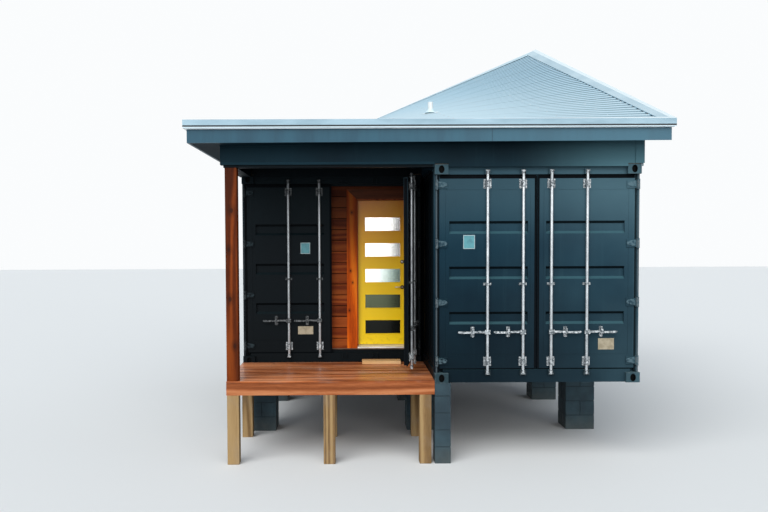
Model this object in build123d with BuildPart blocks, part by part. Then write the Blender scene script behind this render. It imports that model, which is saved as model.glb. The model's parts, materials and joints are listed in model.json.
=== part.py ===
from build123d import *
from math import ceil
import os

os.makedirs("parts", exist_ok=True)

# A cabin made of two steel shipping containers side by side, under one warped shed roof.
# Frame: +X to the right, +Y away from the front, +Z up, millimetres, with the origin on the
# ground under the middle of the roof. Every height hangs on the piers and every plan
# position on the edges of the roof.

# Containers
CONTAINER_WIDTH = 2438
CONTAINER_LENGTH = 6058
CONTAINER_HEIGHT = 2591
CONTAINER_GAP = 30
SET_BACK = 1430
WALL_THICKNESS = 100
CASTING = (162, 178, 118)
CASTING_SLOT = (82, 50, 28)
CASTING_SLOT_CORNER = 15
SIDE_RAIL_TOP = (60, 60)
SIDE_RAIL_BOTTOM = (50, 140)
END_RAIL_IN = 50
END_RAIL_DEPTH = 112
FLOOR_THICKNESS = 60
FLOOR_LEVEL = 200
CROSS_MEMBER = (45, 122)
CROSS_MEMBER_PITCH = 420
CEILING_THICKNESS = 90
CEILING_DROP = 10

# Pressed wall sheet of a container, seen from above
RIDGE_IN = 8
CORRUGATION_DEPTH = 36
CORRUGATION_PITCH = 278
RIDGE_FLAT = 104
VALLEY_FLAT = 70

# Container door leaves, measured from the hinge pin and from the underside of the container
PIN_FROM_SIDE = 26
PIN_FROM_FRONT = 20
PIN_RADIUS = 8
PIN_CLEARANCE = 0.3
BARREL_RADIUS = 15
BARREL_SIDES = 8
BLADE_HEIGHT = 90
BLADE_REACH = 130
BLADE_THICKNESS = 12
LUG_THICKNESS = 14
HINGE_LEVELS = (258, 956, 1655, 2353)
LEAF_EDGE = 34
LEAF_FACE = 35
LEAF_THICKNESS = 50
LEAF_BOTTOM = 168
LEAF_TOP = 2460
LEAF_GAP = 14
TROUGH_LEVELS = (770, 1309, 1848)
TROUGH_HEIGHT = 150
TROUGH_LIP = 30
TROUGH_DEPTH = 30
TROUGH_MARGIN_HINGE = 118
TROUGH_MARGIN_FREE = 100
PANEL_MARGIN = 70
PANEL_BOTTOM = 329
PANEL_TOP = 2294
PANEL_LINE = (6, 3)
POST_FACE = 65
POST_LEG = 54
POST_RETURN_IN = 112

# Lock gear: two bars a leaf, by their distance from the middle of the doorway
BAR_OFFSETS = (167, 590)
BAR_RADIUS = 17
BAR_SIDES = 16
BAR_IN = 26
BAR_BOTTOM = 97
BAR_TOP = 2530
CAM = (36, 30, 53)
KEEPER = (8, 38, 60)
KEEPER_CLEARANCE = 8
BRACKET_LEVELS = (252, 1176, 2364)
BRACKET_PLATE = (84, 7, 110)
BRACKET_BLOCK = (48, 43, 44)
HANDLE_LEVEL = 606
HANDLE = (353, 12, 26)
HUB = (44, 44, 60)
RETAINER = (40, 43, 70)
RETAINER_OUT = 175

# How far the right leaf of the left container stands open
OPEN_LEAF_ANGLE = 80

# Entrance wall and door behind the open leaf, by depth behind the left container's front
ENTRANCE_IN = 190
ENTRANCE_THICKNESS = 120
DOOR_WIDTH = 698
DOOR_HEIGHT = 2016
DOOR_THICKNESS = 45
DOOR_SET = 3
DOOR_CLEARANCE = 5
JAMB_LEFT = 30
JAMB_RIGHT = 59
DOOR_STOP = 12
CASING_THICKNESS = 18
CASING_LEFT = 140
CASING_RIGHT = 56
CASING_HEAD = 135
CASING_REVEAL = 6
THRESHOLD_HEIGHT = 38
MITRE_GAP = 1
LITE = (490, 187)
LITE_PITCH = 359
LITE_COUNT = 5
LITE_FIRST = 245
GLASS_THICKNESS = 18
LEVER_FROM_EDGE = 77
LEVER_LEVEL = 800
DEADBOLT_LEVEL = 1155
ROSE = (27, 10)
LEVER = (112, 14, 18)
LEVER_NECK = (9, 34)
DOOR_HINGE_LEVELS = (220, 1008, 1796)
DOOR_HINGE = (36, 100, 7)
DOOR_PIN_RADIUS = 4
DOOR_KNUCKLE_HEIGHT = 60
DOOR_PIN_IN = 2
DOOR_PIN_BEHIND = 8

# Piers, porch deck and post
PIER_SIZE = 400
PIER_COURSES = 4
COURSE_HEIGHT = 203
PIER_CAP = 150
PIER_INSET = 24
FRONT_PIER_SETBACK = 1635
CORNER_PIER = 190
DECK_BOARD = (138, 28)
DECK_BOARD_GAP = 5
DECK_TOP = 36
DECK_LEFT_OVERLAP = 7
DECK_SIDE_GAP = 2
JOIST = (38, 140)
JOIST_PITCH = 410
DECK_LEG = 140
POST = 140
STEP = (520, 200, 44)
STEP_RIGHT = 292
STEP_GAP = 30

# Upper walls between the containers and the roof
BEAM_DEPTH = 140
UPPER_WALL = 100
CLADDING = 25
CLADDING_LAP = 31
CORNER_GAP = 2

# Roof
FRONT_OVERHANG = 350
REAR_OVERHANG = 302
LEFT_OVERHANG = 414
RIGHT_OVERHANG = 260
EAVE_RISE = 477
CORNER_RISE = 2390
TRIM_HEIGHT = 93
TRIM_DEPTH = 65
TRIM_SHEET = 8
FASCIA_IN = 40
FASCIA_THICKNESS = 25
SOFFIT_THICKNESS = 16
RAFTER = (45, 198)
RAFTER_COUNT = 10
SHEET_THICKNESS = 12
SHEET_COUNT = 9
SHEET_GAP = 2
RIBS_PER_SHEET = 3
RIB_BASE = 60
RIB_CREST = 28
RIB_HEIGHT = 24
CAP_THICKNESS = 8
FLATNESS = 0.001
CAP_WIDTH = 140
VENT = (30, 160)
VENT_BOOT = (58, 36, 60)
VENT_FLANGE = (230, 290)
VENT_X = 240
VENT_FROM_FRONT = 2200

# Plan of the roof, which is the outline of the whole
ROOF_WIDTH = LEFT_OVERHANG + 2 * CONTAINER_WIDTH + CONTAINER_GAP + RIGHT_OVERHANG
ROOF_DEPTH = FRONT_OVERHANG + CONTAINER_LENGTH + REAR_OVERHANG
ROOF_LEFT = -ROOF_WIDTH / 2
ROOF_RIGHT = ROOF_WIDTH / 2
ROOF_FRONT = -ROOF_DEPTH / 2
ROOF_REAR = ROOF_DEPTH / 2

# Plan of each container as (left, right, front, rear)
LC_LEFT = ROOF_LEFT + LEFT_OVERHANG
LC_RIGHT = LC_LEFT + CONTAINER_WIDTH
RC_LEFT = LC_RIGHT + CONTAINER_GAP
RC_RIGHT = RC_LEFT + CONTAINER_WIDTH
RC_FRONT = ROOF_FRONT + FRONT_OVERHANG
LC_FRONT = RC_FRONT + SET_BACK
REAR = RC_FRONT + CONTAINER_LENGTH
RIGHT_CONTAINER = (RC_LEFT, RC_RIGHT, RC_FRONT, REAR)
LEFT_CONTAINER = (LC_LEFT, LC_RIGHT, LC_FRONT, REAR)
CONTAINERS = (LEFT_CONTAINER, RIGHT_CONTAINER)

# Levels
BASE = PIER_COURSES * COURSE_HEIGHT + PIER_CAP
TOP = BASE + CONTAINER_HEIGHT
FLOOR = BASE + FLOOR_LEVEL
CEILING = TOP - CEILING_DROP - CEILING_THICKNESS
EAVE = TOP + EAVE_RISE
DECK = BASE + DECK_TOP
HEADER_BOTTOM = TOP - CLADDING_LAP

# Layers of the roof, as distances from its warped top surface
RIB_TOP = -CAP_THICKNESS
SHEET_TOP = RIB_TOP - RIB_HEIGHT
SHEET_BOTTOM = SHEET_TOP - SHEET_THICKNESS
RAFTER_BOTTOM = SHEET_BOTTOM - RAFTER[1]
SOFFIT_BOTTOM = RAFTER_BOTTOM - SOFFIT_THICKNESS


def level(height):
    """A height that is the same all over."""
    return lambda x, y: height


def roof(offset):
    """A height that follows the roof: level along the front and left edges, and rising to
    the far right corner in straight lines, so that it is ruled both ways."""
    def height(x, y):
        across = (x - ROOF_LEFT) / ROOF_WIDTH
        back = (y - ROOF_FRONT) / ROOF_DEPTH
        return EAVE + CORNER_RISE * across * back + offset
    return height


def ruled_side(a, b, c, d):
    """The side between edges a-b and d-c: flat where its corners lie in one plane, and ruled
    where the roof twists it."""
    normal = (b - a).cross(d - a).normalized()
    if abs((c - a).dot(normal)) < FLATNESS:
        return Face(Wire.make_polygon([a, b, c, d]))
    return Face.make_surface_from_curves(Edge.make_line(a, b), Edge.make_line(d, c))


def ruled_solid(start, end):
    """A solid between two outlines with as many corners, joined corner to corner."""
    sides = [ruled_side(start[i - 1], start[i], end[i], end[i - 1]) for i in range(len(start))]
    ends = [Face(Wire.make_polygon(outline)) for outline in (start, end)]
    with BuildPart() as solid:
        add(Solid(Shell(sides + ends)))
    return solid.part


def ruled_along_y(y_start, y_end, section):
    """A solid ruled from front to back; section is a list of (x, height)."""
    return ruled_solid(*[[Vector(x, y, height(x, y)) for x, height in section]
                         for y in (y_start, y_end)])


def ruled_along_x(x_start, x_end, section):
    """A solid ruled from left to right; section is a list of (y, height)."""
    return ruled_solid(*[[Vector(x, y, height(x, y)) for y, height in section]
                         for x in (x_start, x_end)])


def warped_block(x_span, y_span, bottom, top):
    """A block with upright sides, whose bottom and top may follow the roof."""
    left, right = x_span
    section = [(left, bottom), (right, bottom), (right, top), (left, top)]
    return ruled_along_y(y_span[0], y_span[1], section)


def block(x_span, y_span, z_span):
    """A plain block between three pairs of limits."""
    with BuildPart() as solid:
        with Locations((x_span[0], y_span[0], z_span[0])):
            Box(x_span[1] - x_span[0], y_span[1] - y_span[0], z_span[1] - z_span[0],
                align=(Align.MIN, Align.MIN, Align.MIN))
    return solid.part


def around(middle, width):
    """The pair of limits that stand evenly about a middle."""
    return (middle - width / 2, middle + width / 2)


def spaced(first, last, pitch):
    """Evenly spaced places from first to last, no further apart than pitch."""
    steps = ceil((last - first) / pitch)
    return [first + (last - first) * i / steps for i in range(steps + 1)]


def finish(part, name):
    """Name a part and write it."""
    part.label = name
    export_step(part, f"parts/{name}.step")


# Block piers: one stack under each bearing point, all down to the lowest ground
pier_columns = (
    LC_LEFT + PIER_INSET + PIER_SIZE / 2,
    (LC_RIGHT + RC_LEFT) / 2,
    RC_RIGHT - PIER_INSET - PIER_SIZE / 2,
)
front_pier = RC_FRONT + FRONT_PIER_SETBACK + PIER_SIZE / 2
rear_pier = REAR - PIER_SIZE / 2
pier_rows = (front_pier, (front_pier + rear_pier) / 2, rear_pier)

with BuildPart() as block_piers:
    for pier_x in pier_columns:
        for pier_y in pier_rows:
            add(block(around(pier_x, PIER_SIZE), around(pier_y, PIER_SIZE), (0, BASE)))
    add(block((RC_LEFT, RC_LEFT + CORNER_PIER), (RC_FRONT, RC_FRONT + CORNER_PIER), (0, BASE)))
finish(block_piers.part, "block_piers")


# Corner castings: eight a container, with a lifting slot in the end and in the side
def corner_casting(x_out, y_out):
    """One casting about its own centre; x_out and y_out are +1 or -1, its outer faces."""
    slot_length, slot_width, slot_depth = CASTING_SLOT
    with BuildPart() as casting:
        Box(*CASTING)
        end_face = casting.faces().sort_by(Axis.Y)[-1 if y_out > 0 else 0]
        side_face = casting.faces().sort_by(Axis.X)[-1 if x_out > 0 else 0]
        for face, length in ((end_face, slot_length), (side_face, slot_length)):
            upright = Plane(origin=face.center(), x_dir=(0, 0, 1), z_dir=face.normal_at())
            with BuildSketch(upright) as slot:
                Rectangle(length, slot_width)
                chamfer(slot.vertices(), CASTING_SLOT_CORNER)
            extrude(amount=-slot_depth, mode=Mode.SUBTRACT)
    return casting.part


with BuildPart() as corner_castings:
    for left, right, front, rear in CONTAINERS:
        for x, x_out in ((left + CASTING[0] / 2, -1), (right - CASTING[0] / 2, 1)):
            for y, y_out in ((front + CASTING[1] / 2, -1), (rear - CASTING[1] / 2, 1)):
                for z in (BASE + CASTING[2] / 2, TOP - CASTING[2] / 2):
                    add(corner_casting(x_out, y_out).moved(Location((x, y, z))))
finish(corner_castings.part, "corner_castings")


# Corner posts: angle sections at the doors, square boxes at the back
POST_LEVELS = (BASE + CASTING[2], TOP - CASTING[2])


def door_post(side, front, inward):
    """An angle post: the outer leg stops behind the hinges, the return is the door stop."""
    outline = [(0, POST_FACE), (POST_LEG, POST_FACE), (POST_LEG, POST_RETURN_IN),
               (WALL_THICKNESS, POST_RETURN_IN), (WALL_THICKNESS, CASTING[1]), (0, CASTING[1])]
    with BuildPart() as post:
        with BuildSketch(Plane.XY.offset(POST_LEVELS[0])):
            with BuildLine():
                Polyline(*[(side + inward * x, front + y) for x, y in outline], close=True)
            make_face()
        extrude(amount=POST_LEVELS[1] - POST_LEVELS[0])
    return post.part


with BuildPart() as corner_posts:
    for left, right, front, rear in CONTAINERS:
        add(door_post(left, front, 1))
        add(door_post(right, front, -1))
        for x_span in ((left, left + WALL_THICKNESS), (right - WALL_THICKNESS, right)):
            add(block(x_span, (rear - CASTING[1], rear), POST_LEVELS))
finish(corner_posts.part, "corner_posts")


# Side rails: one along the top and one along the bottom of each side
with BuildPart() as side_rails:
    for left, right, front, rear in CONTAINERS:
        run = (front + CASTING[1], rear - CASTING[1])
        for width, z_span in ((SIDE_RAIL_TOP[0], (TOP - SIDE_RAIL_TOP[1], TOP)),
                              (SIDE_RAIL_BOTTOM[0], (BASE, BASE + SIDE_RAIL_BOTTOM[1]))):
            add(block((left, left + width), run, z_span))
            add(block((right - width, right), run, z_span))
finish(side_rails.part, "side_rails")


# End rails: header and sill over and under the doors, with keepers for the lock bars,
# and plain rails at the back
def bar_places(container):
    """Where the four lock bars of a container stand along its width."""
    middle = (container[0] + container[1]) / 2
    return [middle + side * offset for side in (-1, 1) for offset in BAR_OFFSETS]


with BuildPart() as end_rails:
    for container in CONTAINERS:
        left, right, front, rear = container
        between_castings = (left + CASTING[0], right - CASTING[0])
        between_posts = (left + WALL_THICKNESS, right - WALL_THICKNESS)
        rail_run = (front + END_RAIL_IN, front + END_RAIL_IN + END_RAIL_DEPTH)
        lip_run = (front + POST_RETURN_IN, rail_run[1])
        sill_top = BASE + LEAF_BOTTOM - 2 * KEEPER[0]
        add(block(between_castings, rail_run, (TOP - CASTING[2], TOP)))
        add(block(between_posts, lip_run, (BASE + LEAF_TOP - 2 * KEEPER[0], TOP - CASTING[2])))
        add(block(between_castings, rail_run, (BASE, BASE + CASTING[2])))
        add(block(between_posts, rail_run, (BASE + CASTING[2], sill_top)))
        add(block(between_posts, lip_run, (sill_top, FLOOR - CROSS_MEMBER[0] / 4)))
        keeper_run = (rail_run[0] - KEEPER[1], rail_run[0])
        keeper_out = CAM[0] / 2 + KEEPER_CLEARANCE + KEEPER[0] / 2
        for bar in bar_places(container):
            for cheek in (bar - keeper_out, bar + keeper_out):
                add(block(around(cheek, KEEPER[0]), keeper_run,
                          (BASE + BAR_BOTTOM - KEEPER[0], sill_top)))
                add(block(around(cheek, KEEPER[0]), keeper_run,
                          (TOP - CASTING[2], TOP - CASTING[2] + KEEPER[2])))
        back_run = (rear - END_RAIL_DEPTH, rear - RIDGE_IN)
        add(block(between_castings, back_run, (BASE, BASE + CASTING[2])))
        add(block(between_castings, back_run, (TOP - CASTING[2], TOP)))
finish(end_rails.part, "end_rails")


# Cross members under the floors, between the bottom side rails
with BuildPart() as cross_members:
    for left, right, front, rear in CONTAINERS:
        member_top = FLOOR - FLOOR_THICKNESS
        first = front + CASTING[1] + CROSS_MEMBER[0]
        last = rear - CASTING[1] - CROSS_MEMBER[0]
        span = (left + SIDE_RAIL_BOTTOM[0], right - SIDE_RAIL_BOTTOM[0])
        for y in spaced(first, last, CROSS_MEMBER_PITCH):
            add(block(span, around(y, CROSS_MEMBER[0]), (member_top - CROSS_MEMBER[1], member_top)))
finish(cross_members.part, "cross_members")


# Floors, ceilings and pressed steel walls with their flat lining
def inside(container):
    """The plan of the room, between the inner faces of the walls."""
    left, right, front, rear = container
    return ((left + WALL_THICKNESS, right - WALL_THICKNESS),
            (front + END_RAIL_IN + END_RAIL_DEPTH, rear - END_RAIL_DEPTH))


def pressed_wall(start, end, outer, inward, z_span, lengthwise):
    """A wall with a corrugated outer face and a flat inner one. It runs from start to end,
    along Y where lengthwise is true and along X where it isn't."""
    ridge = outer + inward * RIDGE_IN
    valley = ridge + inward * CORRUGATION_DEPTH
    slope = (CORRUGATION_PITCH - RIDGE_FLAT - VALLEY_FLAT) / 2
    count = int((end - start) // CORRUGATION_PITCH)
    margin = (end - start - count * CORRUGATION_PITCH) / 2
    outline = [(start, ridge)]
    for i in range(count):
        fold = start + margin + i * CORRUGATION_PITCH + RIDGE_FLAT / 2
        outline += [(fold, ridge), (fold + slope, valley),
                    (fold + slope + VALLEY_FLAT, valley), (fold + 2 * slope + VALLEY_FLAT, ridge)]
    inner = outer + inward * WALL_THICKNESS
    outline += [(end, ridge), (end, inner), (start, inner)]
    with BuildPart() as wall:
        with BuildSketch(Plane.XY.offset(z_span[0])):
            with BuildLine():
                Polyline(*[(b, a) if lengthwise else (a, b) for a, b in outline], close=True)
            make_face()
        extrude(amount=z_span[1] - z_span[0])
    return wall.part


for name, container in (("left_container", LEFT_CONTAINER), ("right_container", RIGHT_CONTAINER)):
    left, right, front, rear = container
    room_x, room_y = inside(container)
    side_run = (front + CASTING[1], rear - CASTING[1])
    side_rise = (BASE + SIDE_RAIL_BOTTOM[1], TOP - SIDE_RAIL_TOP[1])

    with BuildPart() as floor:
        add(block(room_x, room_y, (FLOOR - FLOOR_THICKNESS, FLOOR)))
    finish(floor.part, f"{name}_floor")

    with BuildPart() as ceiling:
        add(block(room_x, room_y, (CEILING, CEILING + CEILING_THICKNESS)))
        for x in (left + CASTING[0] / 2, right - CASTING[0] / 2):
            for y in (front + CASTING[1] / 2, rear - CASTING[1] / 2):
                notch = (around(x, CASTING[0] + 2 * CORNER_GAP), around(y, CASTING[1] + 2 * CORNER_GAP))
                add(block(*notch, (CEILING, TOP)), mode=Mode.SUBTRACT)
    finish(ceiling.part, f"{name}_ceiling")

    with BuildPart() as left_wall:
        add(pressed_wall(*side_run, left, 1, side_rise, True))
    finish(left_wall.part, f"{name}_left_wall")

    with BuildPart() as right_wall:
        add(pressed_wall(*side_run, right, -1, side_rise, True))
    finish(right_wall.part, f"{name}_right_wall")

    with BuildPart() as rear_wall:
        add(pressed_wall(room_x[0], room_x[1], rear, -1, POST_LEVELS, False))
    finish(rear_wall.part, f"{name}_rear_wall")


# Container door leaves. Each is drawn about its hinge pin as a left leaf, shut: x runs from
# the pin to the free edge, y inwards, and z up from the underside of the container.
LEAF_FREE = CONTAINER_WIDTH / 2 - PIN_FROM_SIDE - LEAF_GAP / 2


def leaf_shape():
    """A leaf with three pressed troughs, its panel line and four hinge blades."""
    with BuildPart() as leaf:
        with BuildSketch(Plane.XY.offset(LEAF_BOTTOM)):
            with Locations((LEAF_EDGE, LEAF_FACE)):
                Rectangle(LEAF_FREE - LEAF_EDGE, LEAF_THICKNESS, align=(Align.MIN, Align.MIN))
        extrude(amount=LEAF_TOP - LEAF_BOTTOM)
        with BuildSketch(Plane.YZ.offset(LEAF_EDGE + TROUGH_MARGIN_HINGE)):
            for trough in TROUGH_LEVELS:
                mouth = TROUGH_HEIGHT / 2
                bed = mouth - TROUGH_LIP
                with BuildLine():
                    Polyline((LEAF_FACE, trough - mouth), (LEAF_FACE + TROUGH_DEPTH, trough - bed),
                             (LEAF_FACE + TROUGH_DEPTH, trough + bed), (LEAF_FACE, trough + mouth),
                             close=True)
                make_face()
        trough_length = LEAF_FREE - LEAF_EDGE - TROUGH_MARGIN_HINGE - TROUGH_MARGIN_FREE
        extrude(amount=trough_length, mode=Mode.SUBTRACT)
        panel = (LEAF_FREE - LEAF_EDGE - 2 * PANEL_MARGIN, PANEL_TOP - PANEL_BOTTOM)
        panel_middle = ((LEAF_FREE + LEAF_EDGE) / 2, (PANEL_TOP + PANEL_BOTTOM) / 2)
        with BuildSketch(Plane.XZ.offset(-LEAF_FACE)):
            with Locations(panel_middle):
                Rectangle(*panel)
                Rectangle(panel[0] - 2 * PANEL_LINE[0], panel[1] - 2 * PANEL_LINE[0],
                          mode=Mode.SUBTRACT)
        extrude(amount=-PANEL_LINE[1], mode=Mode.SUBTRACT)
        for hinge in HINGE_LEVELS:
            with BuildSketch(Plane.XY.offset(hinge - BLADE_HEIGHT / 2)):
                with BuildLine():
                    Polyline((-BARREL_RADIUS / 2, 0), (BARREL_RADIUS / 2, 0),
                             (LEAF_EDGE - BLADE_THICKNESS, LEAF_FACE - BLADE_THICKNESS),
                             (BLADE_REACH, LEAF_FACE - BLADE_THICKNESS), (BLADE_REACH, LEAF_FACE),
                             (-BARREL_RADIUS / 2, LEAF_FACE), close=True)
                make_face()
                RegularPolygon(BARREL_RADIUS, BARREL_SIDES, major_radius=False)
                Circle(PIN_RADIUS + PIN_CLEARANCE, mode=Mode.SUBTRACT)
            extrude(amount=BLADE_HEIGHT)
    return leaf.part


def lock_gear_shape():
    """The two lock bars of a leaf, each with its cams, brackets, handle and retainer."""
    leaf_middle = CONTAINER_WIDTH / 2 - PIN_FROM_SIDE
    bar_y = BAR_IN - PIN_FROM_FRONT
    handle_y = bar_y - BAR_RADIUS - HANDLE[1] / 2
    with BuildPart() as gear:
        for offset in BAR_OFFSETS:
            bar_x = leaf_middle - offset
            with BuildSketch(Plane.XY.offset(BAR_BOTTOM)):
                with Locations((bar_x, bar_y)):
                    RegularPolygon(BAR_RADIUS, BAR_SIDES)
            extrude(amount=BAR_TOP - BAR_BOTTOM)
            for cam in (BAR_BOTTOM, BAR_TOP - CAM[2]):
                add(block(around(bar_x, CAM[0]), around(bar_y, CAM[1]), (cam, cam + CAM[2])))
            for bracket in BRACKET_LEVELS:
                add(block(around(bar_x, BRACKET_PLATE[0]),
                          (LEAF_FACE - BRACKET_PLATE[1], LEAF_FACE),
                          around(bracket, BRACKET_PLATE[2])))
                add(block(around(bar_x, BRACKET_BLOCK[0]),
                          (LEAF_FACE - BRACKET_PLATE[1] - BRACKET_BLOCK[1],
                           LEAF_FACE - BRACKET_PLATE[1]),
                          around(bracket, BRACKET_BLOCK[2])))
            add(block(around(bar_x, HUB[0]), around(bar_y, HUB[1]), around(HANDLE_LEVEL, HUB[2])))
            add(block((bar_x - HANDLE[0], bar_x), around(handle_y + HANDLE[1] / 2, HANDLE[1]),
                      around(HANDLE_LEVEL, HANDLE[2])))
            add(block(around(bar_x - RETAINER_OUT, RETAINER[0]),
                      (LEAF_FACE - RETAINER[1], LEAF_FACE), around(HANDLE_LEVEL, RETAINER[2])))
    return gear.part


def hung(shape, container, side, angle):
    """A leaf or its gear on its pin: side is +1 for a left leaf and -1 for a right one."""
    left, right, front, rear = container
    pin_x = left + PIN_FROM_SIDE if side > 0 else right - PIN_FROM_SIDE
    if side < 0:
        shape = shape.mirror(Plane.YZ)
    return shape.rotate(Axis.Z, angle).moved(Location((pin_x, front + PIN_FROM_FRONT, BASE)))


leaf_blank = leaf_shape()
gear_blank = lock_gear_shape()
LEAVES = (
    ("left_container_left", LEFT_CONTAINER, 1, 0),
    ("left_container_right", LEFT_CONTAINER, -1, OPEN_LEAF_ANGLE),
    ("right_container_left", RIGHT_CONTAINER, 1, 0),
    ("right_container_right", RIGHT_CONTAINER, -1, 0),
)
for name, container, side, angle in LEAVES:
    with BuildPart() as leaf:
        add(hung(leaf_blank, container, side, angle))
    finish(leaf.part, f"{name}_leaf")

    with BuildPart() as lock_gear:
        add(hung(gear_blank, container, side, angle))
    finish(lock_gear.part, f"{name}_lock_gear")


# Hinge pins, each held above and below its blade by a lug on the corner post
with BuildPart() as hinge_pins:
    for left, right, front, rear in CONTAINERS:
        for pin_x in (left + PIN_FROM_SIDE, right - PIN_FROM_SIDE):
            pin_y = front + PIN_FROM_FRONT
            lug_reach = (pin_y, front + POST_FACE)
            for hinge in HINGE_LEVELS:
                lug_in = BLADE_HEIGHT / 2 + PIN_CLEARANCE
                with BuildSketch(Plane.XY.offset(BASE + hinge - lug_in - LUG_THICKNESS)):
                    with Locations((pin_x, pin_y)):
                        Circle(PIN_RADIUS)
                extrude(amount=2 * (lug_in + LUG_THICKNESS))
                for lug in (hinge - lug_in - LUG_THICKNESS, hinge + lug_in):
                    with BuildSketch(Plane.XY.offset(BASE + lug)):
                        with Locations((pin_x, pin_y)):
                            RegularPolygon(BARREL_RADIUS, BARREL_SIDES, major_radius=False)
                            Rectangle(2 * BARREL_RADIUS, lug_reach[1] - lug_reach[0],
                                      align=(Align.CENTER, Align.MIN))
                    extrude(amount=LUG_THICKNESS)
finish(hinge_pins.part, "hinge_pins")


# Entrance: a boarded wall across the left container, with the door at its right end
ENTRANCE_FACE = LC_FRONT + ENTRANCE_IN
ENTRANCE_BACK = ENTRANCE_FACE + ENTRANCE_THICKNESS
ENTRANCE_RUN = (ENTRANCE_FACE, ENTRANCE_BACK)
OPENING_RIGHT = LC_RIGHT - WALL_THICKNESS - JAMB_RIGHT
SLAB_RIGHT = OPENING_RIGHT - DOOR_CLEARANCE
SLAB_LEFT = SLAB_RIGHT - DOOR_WIDTH
OPENING_LEFT = SLAB_LEFT - DOOR_CLEARANCE
SLAB_BOTTOM = FLOOR + THRESHOLD_HEIGHT + DOOR_CLEARANCE
SLAB_TOP = SLAB_BOTTOM + DOOR_HEIGHT
OPENING_TOP = SLAB_TOP + DOOR_CLEARANCE
HEAD_TOP = OPENING_TOP + JAMB_LEFT
SLAB_BACK = ENTRANCE_BACK - DOOR_SET
SLAB_FACE = SLAB_BACK - DOOR_THICKNESS

with BuildPart() as entrance_wall:
    add(block((LC_LEFT + WALL_THICKNESS, OPENING_LEFT - JAMB_LEFT), ENTRANCE_RUN, (FLOOR, CEILING)))
finish(entrance_wall.part, "entrance_wall")

with BuildPart() as wall_over_door:
    add(block((OPENING_LEFT - JAMB_LEFT, LC_RIGHT - WALL_THICKNESS), ENTRANCE_RUN,
              (HEAD_TOP, CEILING)))
finish(wall_over_door.part, "wall_over_door")


# Door casing: mitred boards on the face of the wall
def casing_board(points):
    """A flat casing board on the face of the entrance wall, from its outline in x and z."""
    with BuildPart() as board:
        with BuildSketch(Plane.XZ.offset(-ENTRANCE_FACE)):
            with BuildLine():
                Polyline(*points, close=True)
            make_face()
        extrude(amount=CASING_THICKNESS)
    return board.part


casing_left = OPENING_LEFT - CASING_REVEAL
casing_right = OPENING_RIGHT + CASING_REVEAL
casing_end = OPENING_RIGHT + CASING_RIGHT
casing_top = OPENING_TOP + CASING_REVEAL

with BuildPart() as door_casing:
    add(casing_board([(casing_left - CASING_LEFT, FLOOR), (casing_left, FLOOR),
                      (casing_left, casing_top - MITRE_GAP),
                      (casing_left - CASING_LEFT, casing_top + CASING_HEAD - MITRE_GAP)]))
    add(casing_board([(casing_right, FLOOR), (casing_end, FLOOR),
                      (casing_end, casing_top - MITRE_GAP), (casing_right, casing_top - MITRE_GAP)]))
    add(casing_board([(casing_left, casing_top), (casing_end, casing_top),
                      (casing_end, casing_top + CASING_HEAD),
                      (casing_left - CASING_LEFT, casing_top + CASING_HEAD)]))
finish(door_casing.part, "door_casing")

# Door frame: jambs and head, each with its stop
STOP_RUN = (ENTRANCE_FACE, SLAB_FACE - DOOR_CLEARANCE)
stop_rise = (FLOOR + THRESHOLD_HEIGHT, OPENING_TOP - DOOR_STOP)

with BuildPart() as door_frame:
    add(block((OPENING_LEFT - JAMB_LEFT, OPENING_LEFT), ENTRANCE_RUN, (FLOOR, OPENING_TOP)))
    add(block((OPENING_LEFT, OPENING_LEFT + DOOR_STOP), STOP_RUN, stop_rise))
    add(block((OPENING_RIGHT, OPENING_RIGHT + JAMB_RIGHT), ENTRANCE_RUN, (FLOOR, OPENING_TOP)))
    add(block((OPENING_RIGHT - DOOR_STOP, OPENING_RIGHT), STOP_RUN, stop_rise))
    add(block((OPENING_LEFT - JAMB_LEFT, OPENING_RIGHT + JAMB_RIGHT), ENTRANCE_RUN,
              (OPENING_TOP + MITRE_GAP, HEAD_TOP)))
    add(block((OPENING_LEFT + MITRE_GAP, OPENING_RIGHT - MITRE_GAP), STOP_RUN,
              (stop_rise[1] + MITRE_GAP, OPENING_TOP + MITRE_GAP)))
finish(door_frame.part, "door_frame")

# Threshold with a sloped nose
with BuildPart() as threshold:
    with BuildSketch(Plane.YZ.offset(OPENING_LEFT)):
        with BuildLine():
            nose = ENTRANCE_FACE - CASING_THICKNESS
            Polyline((nose, FLOOR), (ENTRANCE_BACK, FLOOR), (ENTRANCE_BACK, FLOOR + THRESHOLD_HEIGHT),
                     (SLAB_FACE - DOOR_CLEARANCE, FLOOR + THRESHOLD_HEIGHT),
                     (nose, FLOOR + THRESHOLD_HEIGHT / 2), close=True)
        make_face()
    extrude(amount=OPENING_RIGHT - OPENING_LEFT)
finish(threshold.part, "threshold")

# Entry door with five lites, one above another
slab_middle = (SLAB_LEFT + SLAB_RIGHT) / 2
lite_levels = [SLAB_BOTTOM + LITE_FIRST + i * LITE_PITCH for i in range(LITE_COUNT)]

with BuildPart() as entry_door:
    add(block((SLAB_LEFT, SLAB_RIGHT), (SLAB_FACE, SLAB_BACK), (SLAB_BOTTOM, SLAB_TOP)))
    with BuildSketch(Plane.XZ.offset(-SLAB_FACE)):
        with Locations(*[(slab_middle, lite) for lite in lite_levels]):
            Rectangle(*LITE)
    extrude(amount=-DOOR_THICKNESS, mode=Mode.SUBTRACT)
finish(entry_door.part, "entry_door")

with BuildPart() as door_glass:
    with BuildSketch(Plane.XZ.offset(-(SLAB_FACE + SLAB_BACK - GLASS_THICKNESS) / 2)):
        with Locations(*[(slab_middle, lite) for lite in lite_levels]):
            Rectangle(*LITE)
    extrude(amount=-GLASS_THICKNESS)
finish(door_glass.part, "door_glass")


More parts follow.
